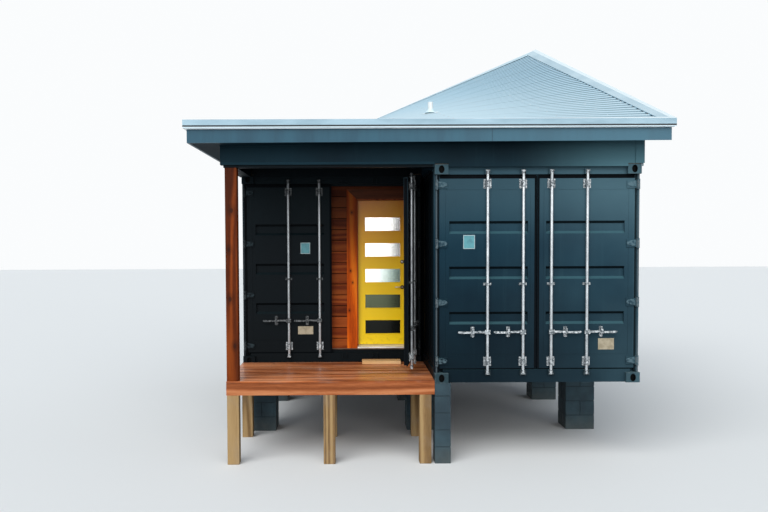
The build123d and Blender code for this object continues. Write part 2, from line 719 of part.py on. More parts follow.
# Door hardware: lever and bolt on both faces, and three butt hinges on the inner one
def rose_and(face, out, height):
    """A rose with its neck on a face of the door; out is -1 outside and +1 inside."""
    radius, thickness = ROSE
    plane = Plane(origin=(SLAB_RIGHT - LEVER_FROM_EDGE, face, height), x_dir=(1, 0, 0),
                  z_dir=(0, out, 0))
    with BuildPart() as rose:
        with BuildSketch(plane):
            Circle(radius)
        extrude(amount=thickness)
        with BuildSketch(plane):
            Circle(LEVER_NECK[0])
        extrude(amount=thickness + LEVER_NECK[1])
    return rose.part


hinge_x = SLAB_LEFT + DOOR_PIN_IN
hinge_y = ENTRANCE_BACK + DOOR_PIN_BEHIND
plate, hinge_height, knuckle = DOOR_HINGE

with BuildPart() as door_hardware:
    for face, out in ((SLAB_FACE, -1), (SLAB_BACK, 1)):
        lever_y = face + out * (ROSE[1] + LEVER_NECK[1] - LEVER[1] / 2)
        lever_end = SLAB_RIGHT - LEVER_FROM_EDGE + LEVER_NECK[0]
        add(rose_and(face, out, SLAB_BOTTOM + LEVER_LEVEL))
        add(block((lever_end - LEVER[0], lever_end), around(lever_y, LEVER[1]),
                  around(SLAB_BOTTOM + LEVER_LEVEL, LEVER[2])))
        add(rose_and(face, out, SLAB_BOTTOM + DEADBOLT_LEVEL))
    for hinge in DOOR_HINGE_LEVELS:
        with BuildSketch(Plane.XY.offset(SLAB_BOTTOM + hinge - DOOR_KNUCKLE_HEIGHT / 2)):
            with Locations((hinge_x, hinge_y)):
                Circle(knuckle)
            with Locations((hinge_x, SLAB_BACK)):
                Rectangle(plate, hinge_y - SLAB_BACK - DOOR_SET, align=(Align.MIN, Align.MIN))
            with Locations((hinge_x, hinge_y)):
                Circle(DOOR_PIN_RADIUS + PIN_CLEARANCE, mode=Mode.SUBTRACT)
        extrude(amount=DOOR_KNUCKLE_HEIGHT)
finish(door_hardware.part, "door_hardware")

# Fixed halves of the butt hinges, on the jamb: a plate, two knuckles and the pin
with BuildPart() as door_hinge_pins:
    for hinge in DOOR_HINGE_LEVELS:
        middle = SLAB_BOTTOM + hinge
        knuckle_side = hinge_x - knuckle - DOOR_PIN_IN
        plate_back = hinge_y - DOOR_SET
        add(block((knuckle_side - plate, knuckle_side), (ENTRANCE_BACK, plate_back),
                  around(middle, hinge_height)))
        with BuildSketch(Plane.XY.offset(middle - hinge_height / 2)):
            with Locations((hinge_x, hinge_y)):
                Circle(DOOR_PIN_RADIUS)
        extrude(amount=hinge_height)
        knuckle_in = DOOR_KNUCKLE_HEIGHT / 2 + PIN_CLEARANCE
        for foot in (middle - hinge_height / 2, middle + knuckle_in):
            with BuildSketch(Plane.XY.offset(foot)):
                with Locations((hinge_x, hinge_y)):
                    Circle(knuckle)
                with Locations((knuckle_side, ENTRANCE_BACK)):
                    Rectangle(hinge_x - knuckle_side, plate_back - ENTRANCE_BACK,
                              align=(Align.MIN, Align.MIN))
            extrude(amount=hinge_height / 2 - knuckle_in)
finish(door_hinge_pins.part, "door_hinge_pins")


# Porch deck: boards from side to side on joists, on legs
DECK_LEFT = LC_LEFT - DECK_LEFT_OVERLAP
DECK_RIGHT = RC_LEFT - DECK_SIDE_GAP
DECK_FRONT = RC_FRONT
DECK_REAR = LC_FRONT - DECK_SIDE_GAP
board_count = round((DECK_REAR - DECK_FRONT) / (DECK_BOARD[0] + DECK_BOARD_GAP))
board_pitch = (DECK_REAR - DECK_FRONT + DECK_BOARD_GAP) / board_count

with BuildPart() as deck_boards:
    for i in range(board_count):
        board_front = DECK_FRONT + i * board_pitch
        add(block((DECK_LEFT, DECK_RIGHT), (board_front, board_front + board_pitch - DECK_BOARD_GAP),
                  (DECK - DECK_BOARD[1], DECK)))
finish(deck_boards.part, "deck_boards")

joist_rise = (DECK - DECK_BOARD[1] - JOIST[1], DECK - DECK_BOARD[1])
with BuildPart() as deck_frame:
    add(block((DECK_LEFT, DECK_RIGHT), (DECK_FRONT, DECK_FRONT + JOIST[0]), joist_rise))
    add(block((DECK_LEFT, DECK_RIGHT), (DECK_REAR - JOIST[0], DECK_REAR), joist_rise))
    joist_run = (DECK_FRONT + JOIST[0] + CORNER_GAP, DECK_REAR - JOIST[0] - CORNER_GAP)
    for x in spaced(DECK_LEFT + JOIST[0] / 2, DECK_RIGHT - JOIST[0] / 2, JOIST_PITCH):
        add(block(around(x, JOIST[0]), joist_run, joist_rise))
finish(deck_frame.part, "deck_frame")

POST_X = (LC_LEFT, LC_LEFT + POST)
POST_Y = (RC_FRONT, RC_FRONT + POST)
with BuildPart() as deck_legs:
    leg_first = POST_X[0] + DECK_LEG / 2
    leg_last = DECK_RIGHT - DECK_LEG / 2 - JOIST[0]
    for x in (leg_first, (leg_first + leg_last) / 2, leg_last):
        for y in (DECK_FRONT + DECK_LEG / 2, DECK_REAR - DECK_LEG / 2):
            add(block(around(x, DECK_LEG), around(y, DECK_LEG), (0, joist_rise[0])))
finish(deck_legs.part, "deck_legs")

with BuildPart() as doorstep:
    add(block((LC_RIGHT - STEP_RIGHT - STEP[0], LC_RIGHT - STEP_RIGHT),
              (DECK_REAR - STEP_GAP - STEP[1], DECK_REAR - STEP_GAP), (DECK, DECK + STEP[2])))
finish(doorstep.part, "doorstep")

with BuildPart() as porch_post:
    add(block(POST_X, POST_Y, (DECK, HEADER_BOTTOM)))
finish(porch_post.part, "porch_post")

# Porch beams: one across the front, on the post, and one back to the left container
with BuildPart() as porch_beams:
    add(warped_block((LC_LEFT, RC_LEFT - CORNER_GAP), (RC_FRONT, RC_FRONT + BEAM_DEPTH),
                     level(HEADER_BOTTOM), roof(RAFTER_BOTTOM)))
    add(warped_block((LC_LEFT, LC_LEFT + BEAM_DEPTH),
                     (RC_FRONT + BEAM_DEPTH + CORNER_GAP, LC_FRONT - CLADDING - CORNER_GAP),
                     level(HEADER_BOTTOM), roof(RAFTER_BOTTOM)))
finish(porch_beams.part, "porch_beams")

# Upper walls, which stand on the containers and follow the roof
with BuildPart() as upper_walls:
    front_run = (RC_FRONT, RC_FRONT + UPPER_WALL)
    porch_run = (LC_FRONT, LC_FRONT + UPPER_WALL)
    rear_run = (REAR - UPPER_WALL, REAR)
    add(warped_block((RC_LEFT, RC_RIGHT), front_run, level(TOP), roof(RAFTER_BOTTOM)))
    add(warped_block((LC_LEFT, RC_LEFT - CORNER_GAP), porch_run, level(TOP), roof(RAFTER_BOTTOM)))
    add(warped_block((LC_LEFT, RC_RIGHT), rear_run, level(TOP), roof(RAFTER_BOTTOM)))
    add(warped_block((LC_LEFT, LC_LEFT + UPPER_WALL),
                     (porch_run[1] + CORNER_GAP, rear_run[0] - CORNER_GAP),
                     level(TOP), roof(RAFTER_BOTTOM)))
    add(warped_block((RC_RIGHT - UPPER_WALL, RC_RIGHT),
                     (front_run[1] + CORNER_GAP, rear_run[0] - CORNER_GAP),
                     level(TOP), roof(RAFTER_BOTTOM)))
    add(warped_block((RC_LEFT, RC_LEFT + UPPER_WALL),
                     (front_run[1] + CORNER_GAP, porch_run[1]),
                     level(TOP), roof(RAFTER_BOTTOM)))
finish(upper_walls.part, "upper_walls")

# Upper cladding: thin skins outside the upper walls and beams, lapped over the containers
with BuildPart() as upper_cladding:
    skin = (level(HEADER_BOTTOM), roof(RAFTER_BOTTOM))
    clad_x = (LC_LEFT - CLADDING, RC_RIGHT + CLADDING)
    side_skin = (RC_FRONT + CORNER_GAP, REAR - CORNER_GAP)
    add(warped_block(clad_x, (RC_FRONT - CLADDING, RC_FRONT), *skin))
    add(warped_block(clad_x, (REAR, REAR + CLADDING), *skin))
    add(warped_block((clad_x[0], LC_LEFT), side_skin, *skin))
    add(warped_block((RC_RIGHT, clad_x[1]), side_skin, *skin))
    add(warped_block((LC_LEFT + BEAM_DEPTH + CORNER_GAP, RC_LEFT - CLADDING - CORNER_GAP),
                     (LC_FRONT - CLADDING, LC_FRONT), *skin))
    add(warped_block((RC_LEFT - CLADDING, RC_LEFT),
                     (RC_FRONT + BEAM_DEPTH + CORNER_GAP, LC_FRONT - CORNER_GAP), *skin))
finish(upper_cladding.part, "upper_cladding")

# Rafters run from front to back
RAFTER_RUN = (ROOF_FRONT + FASCIA_IN + FASCIA_THICKNESS, ROOF_REAR - FASCIA_IN - FASCIA_THICKNESS)
RAFTER_SPREAD = (ROOF_LEFT + FASCIA_IN + FASCIA_THICKNESS, ROOF_RIGHT - FASCIA_IN - FASCIA_THICKNESS)
rafter_first = RAFTER_SPREAD[0] + RAFTER[0] / 2
rafter_last = RAFTER_SPREAD[1] - RAFTER[0] / 2

with BuildPart() as rafters:
    for i in range(RAFTER_COUNT):
        x = rafter_first + (rafter_last - rafter_first) * i / (RAFTER_COUNT - 1)
        add(warped_block(around(x, RAFTER[0]), RAFTER_RUN, roof(RAFTER_BOTTOM), roof(SHEET_BOTTOM)))
finish(rafters.part, "rafters")

# Soffits under the overhangs, and the porch ceiling
with BuildPart() as soffits:
    soffit = (roof(SOFFIT_BOTTOM), roof(RAFTER_BOTTOM))
    add(warped_block(RAFTER_SPREAD, (RAFTER_RUN[0], RC_FRONT - CLADDING), *soffit))
    add(warped_block(RAFTER_SPREAD, (REAR + CLADDING, RAFTER_RUN[1]), *soffit))
    eaves_run = (RC_FRONT - CLADDING + CORNER_GAP, REAR + CLADDING - CORNER_GAP)
    add(warped_block((RAFTER_SPREAD[0], clad_x[0]), eaves_run, *soffit))
    add(warped_block((clad_x[1], RAFTER_SPREAD[1]), eaves_run, *soffit))
    add(warped_block((LC_LEFT + BEAM_DEPTH, RC_LEFT - CLADDING),
                     (RC_FRONT + BEAM_DEPTH, LC_FRONT - CLADDING), *soffit))
finish(soffits.part, "soffits")

# Fascia boards round the roof
with BuildPart() as fascia_boards:
    fascia = (roof(SOFFIT_BOTTOM), roof(-TRIM_HEIGHT))
    fascia_x = (ROOF_LEFT + FASCIA_IN, ROOF_RIGHT - FASCIA_IN)
    fascia_y = (ROOF_FRONT + FASCIA_IN, ROOF_REAR - FASCIA_IN)
    add(warped_block(fascia_x, (fascia_y[0], RAFTER_RUN[0]), *fascia))
    add(warped_block(fascia_x, (RAFTER_RUN[1], fascia_y[1]), *fascia))
    fascia_run = (RAFTER_RUN[0] + CORNER_GAP, RAFTER_RUN[1] - CORNER_GAP)
    add(warped_block((fascia_x[0], RAFTER_SPREAD[0]), fascia_run, *fascia))
    add(warped_block((RAFTER_SPREAD[1], fascia_x[1]), fascia_run, *fascia))
finish(fascia_boards.part, "fascia_boards")

# Ribbed metal sheets, side by side from front to back, with their ribs from left to right
sheet_width = (RAFTER_RUN[1] - RAFTER_RUN[0]) / SHEET_COUNT
rib_pitch = sheet_width / RIBS_PER_SHEET


def sheet_section(sheet_front):
    """The section of one ribbed sheet, as (y, height)."""
    sheet_rear = sheet_front + sheet_width - SHEET_GAP
    section = [(sheet_front, roof(SHEET_BOTTOM)), (sheet_rear, roof(SHEET_BOTTOM)),
               (sheet_rear, roof(SHEET_TOP))]
    for i in reversed(range(RIBS_PER_SHEET)):
        rib = sheet_front + (i + 0.5) * rib_pitch
        section += [(rib + RIB_BASE / 2, roof(SHEET_TOP)), (rib + RIB_CREST / 2, roof(RIB_TOP)),
                    (rib - RIB_CREST / 2, roof(RIB_TOP)), (rib - RIB_BASE / 2, roof(SHEET_TOP))]
    return section + [(sheet_front, roof(SHEET_TOP))]


with BuildPart() as roof_sheets:
    for i in range(SHEET_COUNT):
        add(ruled_along_x(ROOF_LEFT, RAFTER_SPREAD[1],
                          sheet_section(RAFTER_RUN[0] + i * sheet_width)))
finish(roof_sheets.part, "roof_sheets")


# Edge trim: a folded channel on the fascia at the front, right and back, and a drip under
# the sheets at the low left edge
def folded_trim(outer, inner):
    """The section of the channel, open towards the roof, as (distance, height)."""
    web = outer + (TRIM_SHEET if inner > outer else -TRIM_SHEET)
    return [(outer, roof(0)), (inner, roof(0)), (inner, roof(-TRIM_SHEET)), (web, roof(-TRIM_SHEET)),
            (web, roof(TRIM_SHEET - TRIM_HEIGHT)), (inner, roof(TRIM_SHEET - TRIM_HEIGHT)),
            (inner, roof(-TRIM_HEIGHT)), (outer, roof(-TRIM_HEIGHT))]


with BuildPart() as edge_trim:
    front_inner = ROOF_FRONT + TRIM_DEPTH
    rear_inner = ROOF_REAR - TRIM_DEPTH
    add(ruled_along_x(ROOF_LEFT, ROOF_RIGHT, folded_trim(ROOF_FRONT, front_inner)))
    add(ruled_along_x(ROOF_LEFT, ROOF_RIGHT, folded_trim(ROOF_REAR, rear_inner)))
    trim_run = (front_inner + CORNER_GAP, rear_inner - CORNER_GAP)
    add(ruled_along_y(*trim_run, folded_trim(ROOF_RIGHT, ROOF_RIGHT - TRIM_DEPTH)))
    add(warped_block((ROOF_LEFT, ROOF_LEFT + TRIM_DEPTH), trim_run,
                     roof(-TRIM_HEIGHT), roof(SHEET_BOTTOM)))
finish(edge_trim.part, "edge_trim")

# Rake caps: flat flashings that close the sheets at the right and back edges
with BuildPart() as rake_caps:
    cap_y = RAFTER_RUN[1] - CAP_WIDTH
    cap = (roof(RIB_TOP), roof(0))
    add(warped_block((RAFTER_SPREAD[1] - CAP_WIDTH, RAFTER_SPREAD[1]),
                     (RAFTER_RUN[0], cap_y - CORNER_GAP), *cap))
    add(warped_block((ROOF_LEFT, RAFTER_SPREAD[1]), (cap_y, RAFTER_RUN[1]), *cap))
finish(rake_caps.part, "rake_caps")

# Vent pipe in its boot, in the flat between two ribs
vent_rib = round((ROOF_FRONT + VENT_FROM_FRONT - RAFTER_RUN[0]) / rib_pitch)
vent_y = RAFTER_RUN[0] + vent_rib * rib_pitch
vent_foot = roof(0)(VENT_X, vent_y)
with BuildPart() as vent_pipe:
    boot_low, boot_high, boot_height = VENT_BOOT
    with BuildSketch(Plane.XZ.offset(-vent_y)):
        with BuildLine():
            Polyline((VENT_X, vent_foot + RIB_TOP), (VENT_X + boot_low, vent_foot + RIB_TOP),
                     (VENT_X + boot_high, vent_foot + boot_height),
                     (VENT_X + VENT[0], vent_foot + boot_height),
                     (VENT_X + VENT[0], vent_foot + VENT[1]), (VENT_X, vent_foot + VENT[1]),
                     close=True)
        make_face()
    revolve(axis=Axis((VENT_X, vent_y, 0), (0, 0, 1)))
    add(warped_block(around(VENT_X, VENT_FLANGE[0]), around(vent_y, VENT_FLANGE[1]),
                     roof(RIB_TOP), roof(0)))
finish(vent_pipe.part, "vent_pipe")
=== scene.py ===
import json
from math import ceil, cos, pi, radians, sin

import bmesh
import bpy
from mathutils import Matrix, Vector


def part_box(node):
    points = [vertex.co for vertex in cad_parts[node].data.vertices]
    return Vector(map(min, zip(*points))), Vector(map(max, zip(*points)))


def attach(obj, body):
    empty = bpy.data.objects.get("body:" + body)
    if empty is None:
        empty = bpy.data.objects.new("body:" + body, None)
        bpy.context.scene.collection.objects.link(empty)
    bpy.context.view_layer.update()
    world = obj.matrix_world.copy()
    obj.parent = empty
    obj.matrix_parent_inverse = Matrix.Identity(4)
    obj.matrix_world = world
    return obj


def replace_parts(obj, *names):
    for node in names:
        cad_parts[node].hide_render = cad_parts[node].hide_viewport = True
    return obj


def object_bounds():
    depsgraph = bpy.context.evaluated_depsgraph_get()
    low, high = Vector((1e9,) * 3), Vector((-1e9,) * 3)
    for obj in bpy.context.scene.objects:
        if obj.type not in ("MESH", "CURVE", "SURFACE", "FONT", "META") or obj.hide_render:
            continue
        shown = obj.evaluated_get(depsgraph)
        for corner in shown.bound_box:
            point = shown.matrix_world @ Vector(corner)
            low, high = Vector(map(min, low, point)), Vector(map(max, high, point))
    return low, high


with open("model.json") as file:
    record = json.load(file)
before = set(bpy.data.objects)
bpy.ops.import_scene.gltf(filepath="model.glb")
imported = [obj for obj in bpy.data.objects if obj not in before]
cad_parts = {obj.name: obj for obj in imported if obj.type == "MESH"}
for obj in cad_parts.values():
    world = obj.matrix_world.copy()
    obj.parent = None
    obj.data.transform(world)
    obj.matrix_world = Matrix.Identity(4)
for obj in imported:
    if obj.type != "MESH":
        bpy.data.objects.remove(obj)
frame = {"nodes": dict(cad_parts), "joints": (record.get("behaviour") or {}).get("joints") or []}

cad_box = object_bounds()


# The view and the light: the front, seen from just left of its middle and from below the eaves,
# under a bright mist. The light is soft and casts no edge: some falls from above, and as much
# comes in level from the front, which lights the porch under its roof.
PHOTO_WIDTH = 768
CAMERA_PLACE = (-0.912, -12.155, 2.673)
CAMERA_YAW = radians(0.314)
CAMERA_PITCH = radians(-2.189)
CAMERA_ROLL = radians(-0.249)
FOCAL_PIXELS = 776.2
SENSOR_MM = 36.0
AXIS_LEFT_OF_MIDDLE = 30.0
AXIS_BELOW_MIDDLE = 13.2
SKY_LIGHT = (0.80, 0.89, 1.0, 1.0)
SKY_STRENGTH = 0.42
SKY_SHOWN = (0.96, 0.975, 0.985, 1.0)
LAMP_COLOUR = (1.0, 0.985, 0.96)
# Each lamp: its energy, and in degrees the width of its disc, its tilt and its turn.
LAMPS = {"high_mist": (1.9, 46, 44, -30), "low_mist": (2.5, 80, 80, 4)}

lens = bpy.data.cameras.new("view")
lens.sensor_width = SENSOR_MM
lens.lens = FOCAL_PIXELS * SENSOR_MM / PHOTO_WIDTH
lens.shift_x = AXIS_LEFT_OF_MIDDLE / PHOTO_WIDTH
lens.shift_y = AXIS_BELOW_MIDDLE / PHOTO_WIDTH
camera = bpy.data.objects.new("view", lens)
camera.matrix_world = (Matrix.Translation(CAMERA_PLACE) @ Matrix.Rotation(-CAMERA_YAW, 4, "Z")
                       @ Matrix.Rotation(pi / 2 + CAMERA_PITCH, 4, "X")
                       @ Matrix.Rotation(CAMERA_ROLL, 4, "Z"))
bpy.context.collection.objects.link(camera)
bpy.context.scene.camera = camera
bpy.context.scene.view_settings.view_transform = "Standard"

for name, (energy, spread, tilt, turn) in LAMPS.items():
    light = bpy.data.lights.new(name, "SUN")
    light.energy = energy
    light.angle = radians(spread)
    light.color = LAMP_COLOUR
    holder = bpy.data.objects.new(name, light)
    holder.rotation_euler = (radians(tilt), 0, radians(turn))
    bpy.context.collection.objects.link(holder)

world = bpy.data.worlds.new("mist")
bpy.context.scene.world = world
world.use_nodes = True
sky = world.node_tree
lit = sky.nodes["Background"]
lit.inputs["Color"].default_value = SKY_LIGHT
lit.inputs["Strength"].default_value = SKY_STRENGTH
seen = sky.nodes.new("ShaderNodeBackground")
seen.inputs["Color"].default_value = SKY_SHOWN
seen.inputs["Strength"].default_value = 1.0
rays = sky.nodes.new("ShaderNodeLightPath")
background = lit.outputs[0]
for ray in ("Is Camera Ray", "Is Glossy Ray", "Is Transmission Ray"):
    choose = sky.nodes.new("ShaderNodeMixShader")
    sky.links.new(rays.outputs[ray], choose.inputs[0])
    sky.links.new(background, choose.inputs[1])
    sky.links.new(seen.outputs[0], choose.inputs[2])
    background = choose.outputs[0]
sky.links.new(background, sky.nodes["World Output"].inputs["Surface"])


# The floor, which isn't part of the cabin: a plain pale plane. It is seen and reflected paler
# than the light it throws back, so that what hangs over it stays dark underneath.
def srgb(red, green, blue):
    """A linear colour from the eight-bit values that a screen shows."""
    shown = [value / 255 for value in (red, green, blue)]
    return tuple([v / 12.92 if v <= 0.04045 else ((v + 0.055) / 1.055) ** 2.4 for v in shown] + [1.0])


class Value:
    """A number or colour that a finish works out; arithmetic on it adds Math nodes."""

    def __init__(self, finish, socket):
        self.finish = finish
        self.socket = socket

    def math(self, operation, first, second):
        return self.finish.node("Math", {0: first, 1: second}, operation=operation)

    def __add__(self, other):
        return self.math("ADD", self, other)

    def __radd__(self, other):
        return self.math("ADD", other, self)

    def __sub__(self, other):
        return self.math("SUBTRACT", self, other)

    def __rsub__(self, other):
        return self.math("SUBTRACT", other, self)

    def __mul__(self, other):
        return self.math("MULTIPLY", self, other)

    def __rmul__(self, other):
        return self.math("MULTIPLY", other, self)

    def __truediv__(self, other):
        return self.math("DIVIDE", self, other)

    def __rtruediv__(self, other):
        return self.math("DIVIDE", other, self)

    def __gt__(self, other):
        return self.math("GREATER_THAN", self, other)

    def __lt__(self, other):
        return self.math("LESS_THAN", self, other)

    def band(self, low, high):
        """0 below low and 1 above high, with a soft step between them."""
        return self.finish.node("MapRange", {0: self, 1: low, 2: high},
                                interpolation_type="SMOOTHSTEP")

    def rounded_down(self):
        return self.finish.node("Math", {0: self}, operation="FLOOR")

    def fraction(self):
        return self.finish.node("Math", {0: self}, operation="FRACT")


class Finish:
    """A procedural material on the object's own coordinates, which are metres at rest."""

    def __init__(self, name, roughness=0.5, metallic=0.0, **constants):
        self.material = bpy.data.materials.new(name)
        self.material.use_nodes = True
        self.tree = self.material.node_tree
        self.shader = self.tree.nodes["Principled BSDF"]
        self.shader.inputs["Roughness"].default_value = roughness
        self.shader.inputs["Metallic"].default_value = metallic
        for socket, value in constants.items():
            self.shader.inputs[socket.replace("_", " ")].default_value = value
        self.place = self.node("TexCoord", out="Object")

    def feed(self, socket, value):
        if isinstance(value, Value):
            self.tree.links.new(value.socket, socket)
        else:
            socket.default_value = value

    def node(self, kind, sockets=None, out=0, stops=None, **settings):
        """Any node: its settings first, then the values or links of its sockets."""
        made = self.tree.nodes.new("ShaderNode" + kind)
        for setting, value in settings.items():
            setattr(made, setting, value)
        if stops:
            ramp = made.color_ramp.elements
            while len(ramp) < len(stops):
                ramp.new(1.0)
            for element, (position, colour) in zip(ramp, stops):
                element.position = position
                element.color = colour
        for socket, value in (sockets or {}).items():
            self.feed(made.inputs[socket], value)
        return Value(self, made.outputs[out])

    def set(self, **sockets):
        """Feed sockets of the shader, such as Base_Color."""
        for socket, value in sockets.items():
            self.feed(self.shader.inputs[socket.replace("_", " ")], value)
        return self

    def along(self, axis):
        return self.node("SeparateXYZ", {0: self.place}, out="XYZ".index(axis))

    def stretched(self, stretch, place=None):
        return self.node("VectorMath", {0: place or self.place, 1: stretch}, operation="MULTIPLY")

    def noise(self, scale, stretch=(1, 1, 1), detail=3.0, roughness=0.55, place=None):
        return self.node("TexNoise", {"Vector": self.stretched(stretch, place), "Scale": scale,
                                      "Detail": detail, "Roughness": roughness}, out="Fac")

    def cells(self, scale, stretch=(1, 1, 1), out="Distance", place=None):
        return self.node("TexVoronoi", {"Vector": self.stretched(stretch, place), "Scale": scale},
                         out=out)

    def random(self, value, out="Value"):
        return self.node("TexWhiteNoise", {"W": value}, out=out, noise_dimensions="1D")

    def mix(self, factor, first, second):
        return self.node("Mix", {0: factor, 6: first, 7: second}, out=2, data_type="RGBA")

    def ramp(self, factor, *colours):
        """Colours spread evenly over a factor from 0 to 1."""
        last = len(colours) - 1
        return self.node("ValToRGB", {0: factor}, stops=[(i / last, c) for i, c in enumerate(colours)])

    def mottled(self, scale, first, second, stretch=(1, 1, 1), detail=3.0):
        """A base colour that wanders between two."""
        return self.set(Base_Color=self.mix(self.noise(scale, stretch, detail), first, second))

    def shaded(self, colour, amount):
        """A colour made lighter or darker by a number."""
        return self.node("VectorMath", {0: colour, "Scale": amount}, operation="SCALE")

    def relief(self, height, depth):
        """Surface relief of a given depth in metres."""
        bump = self.node("Bump", {"Height": height, "Distance": depth, "Strength": 1.0})
        return self.set(Normal=bump)


FLOOR_REACH = 60.0
floor_finish = Finish("pale_floor", roughness=0.95, Specular_IOR_Level=0.2)
rays = [floor_finish.node("LightPath", out=f"Is {ray} Ray")
        for ray in ("Camera", "Glossy", "Transmission")]
floor_finish.set(Base_Color=floor_finish.mix((rays[0] + rays[1] + rays[2]) > 0.5,
                                             srgb(134, 138, 140), srgb(228, 231, 232)))
floor_mesh = bpy.data.meshes.new("studio_floor")
floor_mesh.from_pydata([(-FLOOR_REACH, -FLOOR_REACH, 0), (FLOOR_REACH, -FLOOR_REACH, 0),
                        (FLOOR_REACH, FLOOR_REACH, 0), (-FLOOR_REACH, FLOOR_REACH, 0)],
                       [], [(0, 1, 2, 3)])
floor_mesh.materials.append(floor_finish.material)
studio_floor = bpy.data.objects.new("studio_floor", floor_mesh)
bpy.context.collection.objects.link(studio_floor)


# Piers of hollow concrete blocks, two to a course and turned in each course, painted with the
# same dark teal as the steel. The joints are raked back, and a solid cap takes the bearing.
def piece(name, verts, faces, finish, body="building", smooth=False):
    """A mesh in the row's frame that rides on a body."""
    mesh = bpy.data.meshes.new(name)
    mesh.from_pydata([tuple(v) for v in verts], [], faces)
    mesh.validate()
    mesh.update()
    mesh.materials.append(finish.material)
    mesh.polygons.foreach_set("use_smooth", [smooth] * len(mesh.polygons))
    made = bpy.data.objects.new(name, mesh)
    bpy.context.collection.objects.link(made)
    if smooth:
        made.data.set_sharp_from_angle(angle=radians(35))
    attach(made, body)
    return made


class Shapes:
    """Several closed forms gathered into one mesh."""

    def __init__(self):
        self.verts = []
        self.faces = []

    def take(self, verts, faces, move=None):
        start = len(self.verts)
        self.verts += [move @ Vector(v) if move else Vector(v) for v in verts]
        turned = move is not None and move.determinant() < 0
        for face in faces:
            corners = [start + i for i in face]
            self.faces.append(corners[::-1] if turned else corners)
        return self

    def board(self, low, high, edge=0.002, move=None):
        """A block with eased edges between two corners."""
        low, high = Vector(low), Vector(high)
        size = high - low
        block = bmesh.new()
        bmesh.ops.create_cube(block, size=1.0)
        bmesh.ops.scale(block, vec=size, verts=block.verts)
        bmesh.ops.translate(block, vec=(low + high) / 2, verts=block.verts)
        bmesh.ops.bevel(block, geom=block.edges[:], offset=min(edge, 0.225 * min(size)), segments=1,
                        affect="EDGES")
        block.verts.index_update()
        faces = [[vertex.index for vertex in face.verts] for face in block.faces]
        self.take([vertex.co.copy() for vertex in block.verts], faces, move)
        block.free()
        return self

    def loft(self, rings, move=None):
        """A closed form through rings of points, which turn right-handed about its way."""
        count = len(rings[0])
        last = count * (len(rings) - 1)
        faces = [tuple(range(count))[::-1], tuple(range(last, last + count))]
        for near in range(0, last, count):
            for i in range(count):
                j = (i + 1) % count
                faces.append((near + i, near + j, near + count + j, near + count + i))
        return self.take([point for ring in rings for point in ring], faces, move)

    def as_piece(self, name, finish, slot, body="building", smooth=False):
        return piece(name, self.verts, self.faces, finish, body, smooth)


COURSE = 0.203
PIER_COURSES = 4
CAP_COURSE = 0.150
JOINT = 0.010
JOINT_RAKE = 0.006
BLOCK_EDGE = 0.004
NARROW_PIER = 0.3
PIER_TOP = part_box("block_piers")[1].z

block_paint = Finish("painted_block", roughness=0.86)
pores = block_paint.noise(190, detail=5, roughness=0.7)
blotches = block_paint.noise(3.5, detail=4)
splashes = block_paint.along("Z").band(0.30, 0.0) * block_paint.noise(9, detail=5)
block_colour = block_paint.mix(blotches.band(0.3, 0.7), srgb(35, 54, 64), srgb(50, 73, 83))
block_paint.set(Base_Color=block_paint.mix(splashes * 0.55, block_colour, srgb(104, 106, 98)))
block_paint.relief(pores.band(0.35, 0.6) + block_paint.noise(40, detail=3) * 0.6, 0.0016)

joint_paint = Finish("painted_mortar", roughness=0.9)
joint_paint.mottled(25, srgb(27, 42, 50), srgb(40, 58, 66))
joint_paint.relief(joint_paint.noise(150), 0.001)


def islands(node):
    """The boxes of a node's separate solids, as (low corner, high corner)."""
    mesh = frame["nodes"][node].data
    group = list(range(len(mesh.vertices)))

    def root(i):
        while group[i] != i:
            group[i] = group[group[i]]
            i = group[i]
        return i

    spots = {}
    for i, vertex in enumerate(mesh.vertices):
        spot = tuple(round(c, 4) for c in vertex.co)
        if spot in spots:
            group[root(i)] = root(spots[spot])
        spots.setdefault(spot, i)
    for edge in mesh.edges:
        a, b = edge.vertices
        group[root(a)] = root(b)
    boxes = {}
    for i, vertex in enumerate(mesh.vertices):
        low, high = boxes.setdefault(root(i), (vertex.co.copy(), vertex.co.copy()))
        for axis in range(3):
            low[axis] = min(low[axis], vertex.co[axis])
            high[axis] = max(high[axis], vertex.co[axis])
    return sorted(boxes.values(), key=lambda box: tuple(round(c, 3) for c in box[0]))


blocks = Shapes()
joints = Shapes()
for low, high in islands("block_piers"):
    joints.board((low.x + JOINT_RAKE, low.y + JOINT_RAKE, low.z),
                 (high.x - JOINT_RAKE, high.y - JOINT_RAKE, high.z - JOINT_RAKE), 0.001)
    single = high.x - low.x < NARROW_PIER
    for course in range(PIER_COURSES + 1):
        foot = course * COURSE
        head = foot + (COURSE - JOINT if course < PIER_COURSES else CAP_COURSE)
        head = min(head, PIER_TOP)
        if single or course == PIER_COURSES:
            blocks.board((low.x, low.y, foot), (high.x, high.y, head), BLOCK_EDGE)
            continue
        middle = (low + high) / 2
        if course % 2:
            halves = (((low.x, low.y), (middle.x - JOINT / 2, high.y)),
                      ((middle.x + JOINT / 2, low.y), (high.x, high.y)))
        else:
            halves = (((low.x, low.y), (high.x, middle.y - JOINT / 2)),
                      ((low.x, middle.y + JOINT / 2), (high.x, high.y)))
        for near, far in halves:
            blocks.board((*near, foot), (*far, head), BLOCK_EDGE)
block_courses = blocks.as_piece("pier_blocks", block_paint, "painted_block")
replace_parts(block_courses, "block_piers")
joints.as_piece("pier_joints", joint_paint, "painted_block")


